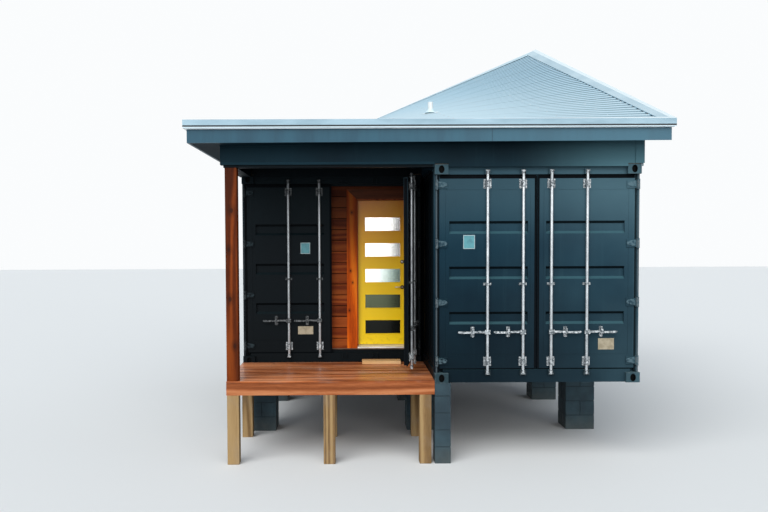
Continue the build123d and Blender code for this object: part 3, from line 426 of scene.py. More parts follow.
# Container frames and walls: weathering steel, pressed and welded, under satin teal paint
# that has dulled, run with dust and chipped a little. Inside the porch it is painted near black,
# as painted shade.
CONTAINER_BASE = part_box("corner_castings")[0].z
CONTAINER_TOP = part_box("corner_castings")[1].z
WALL_BEHIND_CASTING = 0.008
LEFT_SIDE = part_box("left_container_left_wall")[0].x - WALL_BEHIND_CASTING
MIDDLE_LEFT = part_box("left_container_right_wall")[1].x + WALL_BEHIND_CASTING
MIDDLE_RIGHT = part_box("right_container_left_wall")[0].x - WALL_BEHIND_CASTING
RIGHT_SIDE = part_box("right_container_right_wall")[1].x + WALL_BEHIND_CASTING
RIGHT_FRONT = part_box("corner_castings")[0].y
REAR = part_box("corner_castings")[1].y
SET_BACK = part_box("left_container_left_wall")[0].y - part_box("right_container_left_wall")[0].y
LEFT_FRONT = RIGHT_FRONT + SET_BACK
PAINT_DEEP = srgb(10, 34, 48)
PAINT_FULL = srgb(18, 47, 61)
PAINT_DUSTY = srgb(46, 78, 88)
PAINT_PORCH_SHADE = srgb(9, 14, 17)
PAINT_RUBBED = srgb(92, 104, 108)
PAINT_LIT_AND_FADED = srgb(70, 100, 112)
RUST = srgb(92, 52, 34)


def paint_node(node, finish):
    """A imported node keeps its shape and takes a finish."""
    mesh = frame["nodes"][node].data
    mesh.materials.clear()
    mesh.materials.append(finish.material)


def under_porch_roof(finish):
    """1 under the porch roof, where it keeps rain and sun off and casts shade, and 0 elsewhere."""
    across = finish.along("X")
    depth = finish.along("Y")
    in_width = (across.band(MIDDLE_RIGHT + 0.060, MIDDLE_RIGHT + 0.050)
                * across.band(LEFT_SIDE + 0.001, LEFT_SIDE + 0.012))
    in_depth = (depth.band(RIGHT_FRONT + 0.05, RIGHT_FRONT + 0.45)
                * depth.band(LEFT_FRONT + 0.7, LEFT_FRONT + 0.3))
    return in_width * in_depth


def painted_light_and_fade(finish, colour):
    """Painted light and shade: paint lighter towards the top and the open right side and darker towards the
    ground, paler in blotches on the right and along its corner.
    """
    up = (finish.along("Z") - CONTAINER_BASE) / (CONTAINER_TOP - CONTAINER_BASE)
    across = finish.along("X")
    right = across.band(MIDDLE_RIGHT + 0.4, RIGHT_SIDE)
    blotch = finish.noise(0.9, detail=3).band(0.3, 0.7)
    edge = across.band(RIGHT_SIDE - 0.09, RIGHT_SIDE - 0.02)
    fade_and_light = right * (0.14 + blotch * 0.20) + up.band(0.60, 0.95) * (0.48 + right * 0.32) + edge * 0.35
    # Painted light and shade: the paint is scaled from dark at the ground to light at the top.
    colour = finish.shaded(colour, 0.34 + up.band(0.0, 0.85) * 0.80 + right * 0.25)
    return finish.mix(fade_and_light, colour, PAINT_LIT_AND_FADED)


def facing_up(finish):
    """From -1 on what faces down to 1 on what faces up."""
    return finish.node("SeparateXYZ", {0: finish.node("NewGeometry", out="Normal")}, out="Z")


def steel_paint(name, roughness=0.52):
    """Satin teal paint on steel, with painted light on what faces up and painted shade on what faces down.
    """
    finish = Finish(name, roughness=roughness, Specular_IOR_Level=0.07)
    runs = finish.noise(1.6, stretch=(7, 7, 0.35), detail=5)
    cloud = finish.noise(1.1, detail=4)
    colour = finish.mix(cloud.band(0.3, 0.7), PAINT_DEEP, PAINT_FULL)
    colour = finish.mix(runs.band(0.54, 0.84) * 0.30, colour, PAINT_DUSTY)
    colour = painted_light_and_fade(finish, colour)
    facing = facing_up(finish)
    # Painted light on faces that look up, and painted shade, near black, on faces that look down.
    colour = finish.mix(facing.band(0.25, 0.65) * 0.42, colour, srgb(66, 104, 112))
    colour = finish.mix(facing.band(-0.25, -0.65) * 0.88, colour, srgb(3, 7, 10))
    chips = finish.noise(34, detail=6, roughness=0.7).band(0.735, 0.76)
    few = finish.noise(2.2, detail=2).band(0.56, 0.66)
    colour = finish.mix(chips * few, colour, RUST)
    # Painted shade: under the porch roof the paint is darkened to near black.
    colour = finish.mix(under_porch_roof(finish) * 0.92, colour, PAINT_PORCH_SHADE)
    finish.set(Base_Color=colour, Roughness=roughness + cloud * 0.14 + chips * 0.2)
    finish.relief(finish.noise(260, detail=2) * 0.25 + finish.noise(2.4, detail=2), 0.0012)
    finish.colour = colour
    return finish


def rubbed(finish, scale, band, most, less, detail=5, stretch=(1, 1, 1)):
    """Wear in blotches, at most so much, and less by an amount where the porch shelters."""
    return finish.noise(scale, stretch, detail).band(*band) * (most - under_porch_roof(finish) * less)


def marked_steel(name, mark, mark_colour, roughness=0.52):
    """Steel paint that shows another colour where a mask, worked out from the finish, is 1. The mask is
    wear on most parts, and painted highlight and painted shade on the posts.
    """
    finish = steel_paint(name, roughness)
    return finish.set(Base_Color=finish.mix(mark(finish), finish.colour, mark_colour))


steel = steel_paint("container_steel")
for node in ("side_rails", "cross_members"):
    paint_node(node, steel)
for side in ("left", "right"):
    for wall in ("left", "right", "rear"):
        paint_node(f"{side}_container_{wall}_wall", steel)


# Corner castings: cast steel boxes with a lifting slot in the end and the side, rubbed paler
# than the sheets along their edges, and painted near black inside the slots and over their
# mouths, as painted shade.
CASTING_SIZE = (0.162, 0.178, 0.118)
SLOT_MIDDLE = (0.081, 0.089)
SLOT_RIM = (0.034, 0.046)


def nearest(finish, axis, planes):
    """The distance to the nearest of some planes that stand across an axis."""
    place = finish.along(axis)
    least = None
    for plane in planes:
        away = finish.node("Math", {0: place - plane}, operation="ABSOLUTE")
        least = away if least is None else finish.node("Math", {0: least, 1: away}, operation="MINIMUM")
    return least


def from_sides(finish, inward=0.0):
    """The distance to the nearest plane that stands inward of a container's side."""
    return nearest(finish, "X", (LEFT_SIDE + inward, MIDDLE_LEFT - inward, MIDDLE_RIGHT + inward,
                                 RIGHT_SIDE - inward))


def from_fronts(finish, behind):
    """The distance to the nearest plane that stands behind a container's front."""
    return nearest(finish, "Y", (LEFT_FRONT + behind, RIGHT_FRONT + behind))


castings = steel_paint("corner_castings")
from_side = from_sides(castings)
from_end = nearest(castings, "Y", (LEFT_FRONT, RIGHT_FRONT, REAR))
from_middle = nearest(castings, "Z", (CONTAINER_BASE + CASTING_SIZE[2] / 2,
                                      CONTAINER_TOP - CASTING_SIZE[2] / 2))
in_slot = ((from_side > 0.003) * (from_side < 0.125) * (from_end > 0.003) * (from_end < 0.130)
           * (from_middle < 0.050))
rub = castings.noise(26, detail=5)
at_edge = ((from_side < 0.007) * (from_end < 0.007)
           + (from_middle > CASTING_SIZE[2] / 2 - 0.008)) * rub.band(0.35, 0.6)
exposed = 1 - under_porch_roof(castings)
casting_colour = castings.mix(exposed * (0.20 + rub * 0.30), castings.colour, srgb(74, 98, 106))
casting_colour = castings.mix(at_edge * exposed * 0.4, casting_colour, PAINT_RUBBED)
slot_x = (from_side - SLOT_MIDDLE[0]) / SLOT_RIM[0]
slot_y = (from_end - SLOT_MIDDLE[1]) / SLOT_RIM[0]
slot_z = from_middle / SLOT_RIM[1]
rim = ((from_end < 0.004) * (slot_x * slot_x + slot_z * slot_z < 1.0)
       + (from_side < 0.004) * (slot_y * slot_y + slot_z * slot_z < 1.0))
# Painted shade: near black inside the slots and over their mouths.
castings.set(Base_Color=castings.mix((in_slot + rim) > 0.5, casting_colour, srgb(2, 4, 5)),
             Roughness=0.55 + rub * 0.2)
paint_node("corner_castings", castings)


# Nosings of the door posts: a rounded bar stands in front of each post between the hinge lugs.
# Its paint is pale grey in blotches along its face, partly rubbed through by the leaf's seal and
# hands and partly a painted highlight. The post itself is painted near black as painted shade
# where the shut leaf's edge stands close to it.
HINGE_LEVELS = (0.258, 0.956, 1.655, 2.353)
LUG_REACH = 0.061
NOSING_X = (0.014, 0.033)
NOSING_Y = (0.030, 0.066)
NOSING_EDGE = 0.006
LEAF_SHADE_X = 0.048
LEAF_SHADE_Y = 0.06


# Partly painted highlight: a pale strip in blotches along the nosing's face.
def nosing_highlight_and_wear(finish):
    on_face = from_fronts(finish, NOSING_Y[0]) < 0.010
    return on_face * rubbed(finish, 3.2, (0.30, 0.55), 0.7, 0.5, 6, (1, 1, 0.6))


# Painted shade: near black on the post where the shut leaf's edge stands close.
def shade_by_leaf(finish):
    return (from_sides(finish, LEAF_SHADE_X) < 0.013) * (from_fronts(finish, LEAF_SHADE_Y) < 0.03) * 0.85


nosing_paint = marked_steel("post_nosing", nosing_highlight_and_wear, srgb(84, 94, 100))
paint_node("corner_posts", marked_steel("post_paint", shade_by_leaf, srgb(3, 6, 9)))
stops = ([CONTAINER_BASE + CASTING_SIZE[2]]
         + [CONTAINER_BASE + level + reach for level in HINGE_LEVELS for reach in (-LUG_REACH, LUG_REACH)]
         + [CONTAINER_TOP - CASTING_SIZE[2]])
nosings = Shapes()
for front, side, inward in ((LEFT_FRONT, LEFT_SIDE, 1), (LEFT_FRONT, MIDDLE_LEFT, -1),
                            (RIGHT_FRONT, MIDDLE_RIGHT, 1), (RIGHT_FRONT, RIGHT_SIDE, -1)):
    x0, x1 = sorted(side + inward * reach for reach in NOSING_X)
    for foot, head in zip(stops[::2], stops[1::2]):
        nosings.board((x0, front + NOSING_Y[0], foot), (x1, front + NOSING_Y[1], head), NOSING_EDGE)
nosings.as_piece("post_nosings", nosing_paint, "container_steel")


# End rails carry the keepers of the lock bars, welded on and painted with them. Whatever
# stands out in front of a rail is a keeper, and the cams have rubbed it a little.
KEEPER_REACH = 0.038
RAIL_BEHIND_FRONT = 0.050
FACE_TOLERANCE = 0.0005


def keeper_wear(finish):
    from_right = finish.along("Y") - RIGHT_FRONT - RAIL_BEHIND_FRONT
    from_left = finish.along("Y") - LEFT_FRONT - RAIL_BEHIND_FRONT
    keeper = ((from_right < -FACE_TOLERANCE)
              + (from_left > -KEEPER_REACH - 2 * FACE_TOLERANCE) * (from_left < -FACE_TOLERANCE))
    return keeper * rubbed(finish, 30, (0.4, 0.65), 0.5, 0.45, 3)


paint_node("end_rails", marked_steel("rails_and_keepers", keeper_wear, PAINT_RUBBED))


# Linings of both rooms: birch plywood sheets on the flat inner side of the walls, butted with
# a narrow shadow gap. Ceilings are the same plywood, and floors a darker sealed one.
SHEET_WIDTH = 1.22
SHEET_GAP = 0.003
LINING = 0.004
LINING_CLEAR = 0.004
SEAM = 0.004


def plywood(name, pale, warm, roughness, seam_from):
    """Rotary-cut plywood with a seam at every sheet edge."""
    finish = Finish(name, roughness=roughness)
    figure = finish.noise(1.6, stretch=(3, 0.5, 9), detail=5, roughness=0.6)
    fibre = finish.noise(60, stretch=(0.2, 1, 4))
    colour = finish.mix(figure.band(0.3, 0.7), pale, warm)
    colour = finish.shaded(colour, 0.88 + fibre * 0.22)
    seam = ((finish.along("Y") - seam_from) / SHEET_WIDTH).fraction() < SEAM / SHEET_WIDTH
    finish.set(Base_Color=finish.mix(seam * 0.8, colour, srgb(38, 28, 20)))
    finish.relief(fibre - seam * 2.0, 0.0004)
    return finish


def sheet_runs(start, end):
    """Where each sheet of a run begins and ends, with its gaps, the last one cut to fit."""
    runs = []
    for i in range(ceil((end - start - 0.01) / SHEET_WIDTH)):
        near = start + i * SHEET_WIDTH
        runs.append((near + SHEET_GAP / 2, min(near + SHEET_WIDTH, end) - SHEET_GAP / 2))
    return runs


lining_ply = plywood("birch_lining", srgb(214, 188, 148), srgb(190, 156, 112), 0.55, RIGHT_FRONT)
floor_ply = plywood("sealed_floor", srgb(122, 84, 58), srgb(92, 60, 41), 0.34, RIGHT_FRONT + 0.2)
room_fronts = {"left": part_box("entrance_wall")[1].y, "right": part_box("right_container_left_wall")[0].y}
for side, front in room_fronts.items():
    paint_node(f"{side}_container_floor", floor_ply)
    paint_node(f"{side}_container_ceiling", lining_ply)
    low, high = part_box(f"{side}_container_floor")
    foot = high.z + LINING_CLEAR
    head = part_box(f"{side}_container_ceiling")[0].z - LINING_CLEAR
    sheets = Shapes()
    for near, far in sheet_runs(front, high.y):
        for x0, x1 in ((low.x, low.x + LINING), (high.x - LINING, high.x)):
            sheets.board((x0, near, foot), (x1, far, head), 0.0008)
    for near, far in sheet_runs(low.x + LINING, high.x - LINING):
        sheets.board((near, high.y - LINING, foot), (far, high.y, head), 0.0008)
    sheets.as_piece(f"{side}_room_lining", lining_ply, "inner_lining")


# Container door leaves: pressed steel panels with three troughs, hung on four forged blades.
# Round each runs a black rubber seal; its lip along the head is widened into a dark band,
# which stands in for the shade under the header as painted shade.
LEAVES = {
    "left_container_left": 0,
    "left_container_right": 80,
    "right_container_left": 0,
    "right_container_right": 0,
}
LEAF_EDGE = 0.034
LEAF_FREE = 1.186
LEAF_FACE = 0.035
LEAF_THICKNESS = 0.050
LEAF_BOTTOM = 0.168
LEAF_TOP = 2.460
SEAL_OUT = 0.005
SEAL_AND_SHADE_BAND = 0.034
SEAL_LIP = 0.022
PIN_FROM_SIDE = 0.026
PIN_FROM_FRONT = 0.020
BARREL = 0.0175
BLADE_FACE = 0.023
BLADE_OUTLINE = ((0.022, -0.036), (0.070, -0.033), (0.112, -0.022), (0.127, -0.008), (0.127, 0.008),
                 (0.112, 0.022), (0.070, 0.033), (0.022, 0.036))
BLADE_THICK = 0.007
BLADE_BEVEL = 0.003
BLADE_TAPER = 0.86


def barrel_wear(finish):
    at_pin = ((from_sides(finish, PIN_FROM_SIDE) < BARREL)
              * (from_fronts(finish, PIN_FROM_FRONT) < BARREL))
    return at_pin * rubbed(finish, 40, (0.3, 0.6), 0.8, 0.5)


def blade_wear(finish):
    return rubbed(finish, 30, (0.35, 0.62), 0.55, 0.4)


leaf_paint = marked_steel("leaf_paint", barrel_wear, srgb(110, 120, 124), 0.50)
blade_paint = marked_steel("blade_paint", blade_wear, srgb(104, 128, 138), 0.48)
rubber = Finish("black_rubber", roughness=0.9, Specular_IOR_Level=0.08)
rubber.mottled(30, srgb(3, 6, 9), srgb(9, 14, 19))
rubber.relief(rubber.noise(140), 0.0004)


def hung(leaf):
    """From a leaf drawn shut about its pin, x to the free edge, to its place in the cabin."""
    joint = next(j for j in frame["joints"] if j["child"] == f"{leaf}_leaf")
    pin_x, pin_y = joint["pos_m"][:2]
    turn = Matrix.Rotation(radians(LEAVES[leaf]), 4, "Z")
    mirror = Matrix.Scale(-1, 4, (1, 0, 0)) if leaf.endswith("right") else Matrix.Identity(4)
    return Matrix.Translation((pin_x, pin_y, CONTAINER_BASE)) @ turn @ mirror


def blade(shapes, level, move):
    """A forged plate with sloping sides, raised on a leaf's face."""
    middle = sum((Vector(corner) for corner in BLADE_OUTLINE), Vector((0, 0))) / len(BLADE_OUTLINE)
    rings = []
    for grow, out in ((1.0, 0.0), (1.0, BLADE_THICK - BLADE_BEVEL), (BLADE_TAPER, BLADE_THICK)):
        corners = [middle + (Vector(corner) - middle) * grow for corner in BLADE_OUTLINE]
        rings.append([(x, BLADE_FACE - out, level + z) for x, z in corners])
    shapes.loft(rings, move)


for leaf in LEAVES:
    paint_node(f"{leaf}_leaf", leaf_paint)
    place = hung(leaf)
    seal = Shapes()
    inner = LEAF_FACE + 0.006
    outer = LEAF_FACE + LEAF_THICKNESS - 0.006
    seal.board((LEAF_FREE - 0.001, inner, LEAF_BOTTOM + 0.01),
               (LEAF_FREE + SEAL_OUT, outer, LEAF_TOP - 0.01), 0.002, place)
    seal.board((LEAF_FREE - SEAL_LIP, LEAF_FACE - 0.0025, LEAF_BOTTOM + 0.004),
               (LEAF_FREE - 0.001, LEAF_FACE + 0.001, LEAF_TOP - 0.004), 0.001, place)
    # Painted shade: the head lip is a black band standing in for the shade under the header.
    seal.board((LEAF_EDGE + 0.004, LEAF_FACE - 0.003, LEAF_TOP - SEAL_AND_SHADE_BAND),
               (LEAF_FREE - 0.004, LEAF_FACE + 0.001, LEAF_TOP + 0.003), 0.001, place)
    for low, high in ((LEAF_TOP - 0.001, LEAF_TOP + 0.011), (LEAF_BOTTOM - 0.012, LEAF_BOTTOM + 0.001)):
        seal.board((LEAF_EDGE + 0.004, inner, low), (LEAF_FREE - 0.004, inner + 0.014, high),
                   0.002, place)
    seal.as_piece(f"{leaf}_seal", rubber, "container_steel", f"{leaf}_leaf")
    blades = Shapes()
    for level in HINGE_LEVELS:
        blade(blades, level, place)
    blades.as_piece(f"{leaf}_blades", blade_paint, "container_steel", f"{leaf}_leaf")


# Hinge pins and their lugs: forged lugs are welded to the posts, and a steel pin runs through
# them and through each leaf's blades. Both are rubbed and greased to a pale grey.
def pin_wear(finish):
    return rubbed(finish, 40, (0.30, 0.6), 0.72, 0.4)


paint_node("hinge_pins", marked_steel("pins_and_lugs", pin_wear, srgb(96, 108, 114), 0.48))


# Marks on the leaves: a beige data plate and a teal square, which carry nothing. The plate is
# sheet metal on four rivets, and the square is a film with a white border.
PLATE_THICKNESS = 0.0015
MARKS = {
    "left_container_left": {"plate": (0.828, 0.468, 0.208, 0.110), "square": (0.831, 1.595, 0.130, 0.152)},
    "right_container_right": {"plate": (0.363, 0.455, 0.190, 0.135)},
    "right_container_left": {"square": (0.387, 1.676, 0.138, 0.164)},
}
SQUARE_BORDER = 0.008
RIVET_IN = 0.010
RIVET = ((0, 0.004), (0.0012, 0.0035), (0.002, 0.0015))

plate_metal = Finish("blank_plate", roughness=0.5, metallic=0.15)
scuffs = plate_metal.noise(14, detail=6).band(0.42, 0.66)
plate_metal.set(Base_Color=plate_metal.mix(scuffs, srgb(164, 154, 132), srgb(140, 130, 108)))
decal_teal = Finish("teal_square", roughness=0.45)
fade = decal_teal.noise(16, detail=5)
decal_teal.set(Base_Color=decal_teal.mix(fade.band(0.4, 0.7), srgb(78, 146, 156), srgb(62, 122, 134)))
decal_white = Finish("white_border", roughness=0.45)
decal_white.mottled(18, srgb(168, 190, 194), srgb(142, 166, 172))


def circle(middle, side, other, radius, count):
    """Points round a middle, in the plane of two directions."""
    turns = [2 * pi * i / count for i in range(count)]
    return [middle + (side * cos(turn) + other * sin(turn)) * radius for turn in turns]


def turned(shapes, profile, foot, axis, sides=24, move=None):
    """A turned form: profile is a list of (distance along the axis, radius)."""
    axis = Vector(axis).normalized()
    side = axis.orthogonal().normalized()
    shapes.loft([circle(Vector(foot) + axis * distance, side, axis.cross(side), radius, sides)
                 for distance, radius in profile], move)


def flat_mark(place, x, z, width, height, y_front, y_back):
    """A thin flat mark on the face of a leaf."""
    return Shapes().board((x - width / 2, y_front, z - height / 2),
                          (x + width / 2, y_back, z + height / 2), 0.0004, place)


for leaf, marks in MARKS.items():
    place = hung(leaf)
    body = f"{leaf}_leaf"
    if "plate" in marks:
        x, z, width, height = marks["plate"]
        plate = flat_mark(place, x, z, width, height, LEAF_FACE - PLATE_THICKNESS, LEAF_FACE)
        for rivet_x in (RIVET_IN - width / 2, width / 2 - RIVET_IN):
            for rivet_z in (RIVET_IN - height / 2, height / 2 - RIVET_IN):
                turned(plate, RIVET, (x + rivet_x, LEAF_FACE - PLATE_THICKNESS, z + rivet_z),
                       (0, -1, 0), 10, place)
        plate.as_piece(f"{leaf}_plate", plate_metal, "galvanised", body)
    if "square" in marks:
        x, z, width, height = marks["square"]
        flat_mark(place, x, z, width, height, LEAF_FACE - 0.0008, LEAF_FACE).as_piece(
            f"{leaf}_square_border", decal_white, "pipe_plastic", body)
        flat_mark(place, x, z, width - 2 * SQUARE_BORDER, height - 2 * SQUARE_BORDER,
                  LEAF_FACE - 0.0014, LEAF_FACE - 0.0006).as_piece(
            f"{leaf}_square", decal_teal, "pipe_plastic", body)


# Lock gear: two galvanised tubes a leaf. Each turns in three bolted brackets, ends in forged
# cams that bite the keepers, and carries a riveted hub with a flat handle in its retainer.
LEAF_MIDDLE = 1.219 - PIN_FROM_SIDE
BAR_PLACES = (LEAF_MIDDLE - 0.167, LEAF_MIDDLE - 0.590)
BAR_RADIUS = 0.017
BAR_Y = 0.006
BAR_ENDS = (0.097, 2.530)
BRACKETS = ((0.252, 0.055), (1.176, 0.015), (2.364, 0.055))
BRACKET_HALF = 0.046
BRACKET_THICK = 0.006
TALL_BRACKET = 0.04
STRAP = ((-0.026, 0), (0.026, 0), (0.026, 0.016), (0.021, 0.038), (0.012, 0.050),
         (-0.012, 0.050), (-0.021, 0.038), (-0.026, 0.016))
WASHER = ((0, 0.008775), (0.0015, 0.008775))
BOLT_HEAD = ((0.001, 0.0065), (0.007, 0.0065), (0.008, 0.0052))
BOLT_ACROSS = 0.036
BOLT_RISE = 0.038
CAM_TALL = 0.022
CAM_WING = 0.016
CAM_COLLAR = ((0, 0.021), (0.010, 0.021), (0.016, 0.0195), (0.031, 0.0195))
BEARING = ((0, 0.022), (0.006, 0.022), (0.009, 0.0185))
HUB = ((-0.030, 0.019), (-0.026, 0.022), (0.026, 0.022), (0.030, 0.019))
HUB_RIVET = ((0, 0.007), (0.005, 0.007), (0.008, 0.004))
HANDLE_Z = 0.606
HANDLE_Y = BAR_Y - BAR_RADIUS - 0.008
HANDLE_LENGTH = 0.353
HANDLE_THICK = 0.009
# The handle's half height at each distance from its bar.
GRIP = ((0.020, 0.0130), (0.090, 0.0115), (0.150, 0.0105), (0.215, 0.0105), (0.290, 0.0125),
        (0.340, 0.0120), (HANDLE_LENGTH, 0.0070))
RETAINER_X = 0.175
RETAINER_HALF = 0.060
CATCH = ((0, 0.013), (0.010, 0.013), (0.016, 0.008))
SEAL_LOOP = 0.016
STUD = ((0, 0.0055), (0.003, 0.005), (0.0045, 0.002))
ZINC_PALE = srgb(206, 212, 216)
ZINC_DULL = srgb(146, 152, 157)

zinc = Finish("galvanised_steel", roughness=0.42, metallic=0.7)
spangle = zinc.node("SeparateColor", {0: zinc.cells(90, out="Color")})
bloom = zinc.noise(14, stretch=(1, 1, 0.5), detail=5)
low_rust = zinc.noise(26, stretch=(1, 1, 0.4), detail=6).band(0.60, 0.70) * zinc.along("Z").band(2.2, 1.0)
zinc_colour = zinc.mix(spangle * 0.35 + bloom.band(0.35, 0.7) * 0.5, ZINC_PALE, ZINC_DULL)
zinc_colour = zinc.mix(low_rust * 0.6, zinc_colour, srgb(126, 90, 66))
porch_shade = under_porch_roof(zinc) * zinc.along("Z").band(0.7, 2.4)
zinc.set(Base_Color=zinc.shaded(zinc_colour, 1.0 - porch_shade * 0.30),
         Roughness=0.32 + bloom * 0.25 + low_rust * 0.2)
zinc.relief(bloom * 0.6 + spangle * 0.3, 0.0006)


def bar(shapes, path, radii, sides=12, move=None):
    """A round bar along a list of points, with a radius at each."""
    path = [Vector(point) for point in path]
    side = (path[1] - path[0]).normalized().orthogonal()
    rings = []
    for i, point in enumerate(path):
        ahead = (path[min(i + 1, len(path) - 1)] - path[max(i - 1, 0)]).normalized()
        side = (side - ahead * side.dot(ahead)).normalized()
        rings.append(circle(point, side, ahead.cross(side), radii[i], sides))
    shapes.loft(rings, move)


def bracket(shapes, x, level, tall, move):
    """A bolted plate with the pressed strap that holds a tube against it."""
    is_tall = tall > TALL_BRACKET
    shapes.board((x - BRACKET_HALF, LEAF_FACE - BRACKET_THICK, level - tall),
                 (x + BRACKET_HALF, LEAF_FACE, level + tall), 0.0015, move)
    strap = 0.030 if is_tall else 0.012
    shapes.loft([[(x + across, LEAF_FACE - 0.005 - out, level + rise) for across, out in STRAP]
                 for rise in (strap, -strap)], move)
    for rise in (-BOLT_RISE, 0, BOLT_RISE) if is_tall else (0,):
        for across in (-BOLT_ACROSS, BOLT_ACROSS):
            place = (x + across, LEAF_FACE - BRACKET_THICK, level + rise)
            turned(shapes, WASHER, place, (0, -1, 0), 12, move)
            turned(shapes, BOLT_HEAD, place, (0, -1, 0), 6, move)
    for up in (-1, 1) if is_tall else ():
        turned(shapes, BEARING, (x, BAR_Y, level + up * strap), (0, 0, up), 16, move)


def lock_bar(tubes, shapes, x, move):
    """One bar with its cams, collars and brackets, drawn with its leaf shut."""
    low, high = BAR_ENDS
    bar(tubes, [(x, BAR_Y, z) for z in (low + 0.012, low + 0.02, high - 0.02, high - 0.012)],
        [0.015, BAR_RADIUS, BAR_RADIUS, 0.015], 16, move)
    for foot, up in ((low, 1), (high, -1)):
        near, far = sorted((foot, foot + up * CAM_TALL))
        shapes.board((x - 0.018, BAR_Y - 0.015, near), (x + 0.018, BAR_Y + 0.015, far), 0.004, move)
        turned(shapes, CAM_COLLAR, (x, BAR_Y, foot + up * CAM_TALL), (0, 0, up), 16, move)
        near, far = sorted((foot + up * 0.004, foot + up * 0.020))
        for wing in (x - CAM_WING, x + CAM_WING):
            shapes.board((wing - CAM_WING / 2, BAR_Y - 0.018, near),
                         (wing + CAM_WING / 2, BAR_Y + 0.010, far), 0.003, move)
    for level, tall in BRACKETS:
        bracket(shapes, x, level, tall, move)


def handle(shapes, x, move):
    """The hub and the flat handle with its shaped grip."""
    turned(shapes, HUB, (x, BAR_Y, HANDLE_Z), (0, 0, 1), 16, move)
    shapes.board((x - 0.036, BAR_Y - 0.030, HANDLE_Z - 0.026), (x + 0.030, BAR_Y - 0.012, HANDLE_Z + 0.026),
                 0.003, move)
    for across in (-0.024, 0.018):
        turned(shapes, HUB_RIVET, (x + across, BAR_Y - 0.030, HANDLE_Z), (0, -1, 0), 10, move)
    rings = []
    for reach, half in GRIP:
        near = HANDLE_Y - 0.006 * sin(pi * reach / HANDLE_LENGTH) - HANDLE_THICK / 2
        far = near + HANDLE_THICK
        middle = HANDLE_Z + 0.004 * sin(2 * pi * reach / HANDLE_LENGTH)
        rings.append([(x - reach, y, z) for y, z in ((near, middle - half), (far, middle - half),
                                                     (far, middle + half), (near, middle + half))])
    shapes.loft(rings, move)


def retainer(shapes, x, move):
    """The plate that holds a handle, with its hook, catch, seal loop and studs."""
    shapes.board((x - 0.021, LEAF_FACE - 0.005, HANDLE_Z - RETAINER_HALF),
                 (x + 0.021, LEAF_FACE, HANDLE_Z + RETAINER_HALF), 0.0015, move)
    for y0, y1, z0, z1 in ((HANDLE_Y + 0.006, LEAF_FACE - 0.004, -0.022, -0.014),
                           (HANDLE_Y - 0.010, HANDLE_Y - 0.006, -0.022, 0.010),
                           (HANDLE_Y - 0.010, HANDLE_Y + 0.010, -0.024, -0.016),
                           (HANDLE_Y - 0.012, LEAF_FACE - 0.003, 0.008, 0.040)):
        shapes.board((x - 0.013, y0, HANDLE_Z + z0), (x + 0.013, y1, HANDLE_Z + z1), 0.0015, move)
    turned(shapes, CATCH, (x, LEAF_FACE - 0.004, HANDLE_Z + 0.051), (0, -1, 0), 14, move)
    turns = [pi * k / 8 for k in range(17)]
    bar(shapes, [(x + SEAL_LOOP * cos(turn), LEAF_FACE - 0.010, HANDLE_Z - 0.046 + SEAL_LOOP * sin(turn))
                 for turn in turns], [0.0035] * len(turns), 6, move)
    for rise in (-0.032, 0.032):
        turned(shapes, STUD, (x + 0.015, LEAF_FACE - 0.005, HANDLE_Z + rise), (0, -1, 0), 10, move)


gear_metal = Finish("cast_zinc_fittings", roughness=0.5, metallic=0.6)
dirt = gear_metal.noise(44, detail=6, roughness=0.7)
gear_colour = gear_metal.mix(dirt.band(0.36, 0.62), ZINC_PALE, srgb(74, 84, 90))
# Painted shade: the fittings darken under the porch roof, higher up.
porch_shade_on_fittings = under_porch_roof(gear_metal) * gear_metal.along("Z").band(1.2, 1.6)
gear_metal.set(Base_Color=gear_metal.shaded(gear_colour, 0.95 - porch_shade_on_fittings * 0.72),
               Roughness=0.40 + dirt * 0.25)
gear_metal.relief(dirt, 0.0010)
for leaf in LEAVES:
    gear = Shapes()
    fittings = Shapes()
    place = hung(leaf)
    for bar_x in BAR_PLACES:
        lock_bar(gear, fittings, bar_x, place)
        handle(fittings, bar_x, place)
        retainer(fittings, bar_x - RETAINER_X, place)
    fittings.as_piece(f"{leaf}_bar_fittings", gear_metal, "galvanised", f"{leaf}_leaf", smooth=True)
    gear_piece = gear.as_piece(f"{leaf}_bars", zinc, "galvanised", f"{leaf}_leaf", smooth=True)
    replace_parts(gear_piece, f"{leaf}_lock_gear")


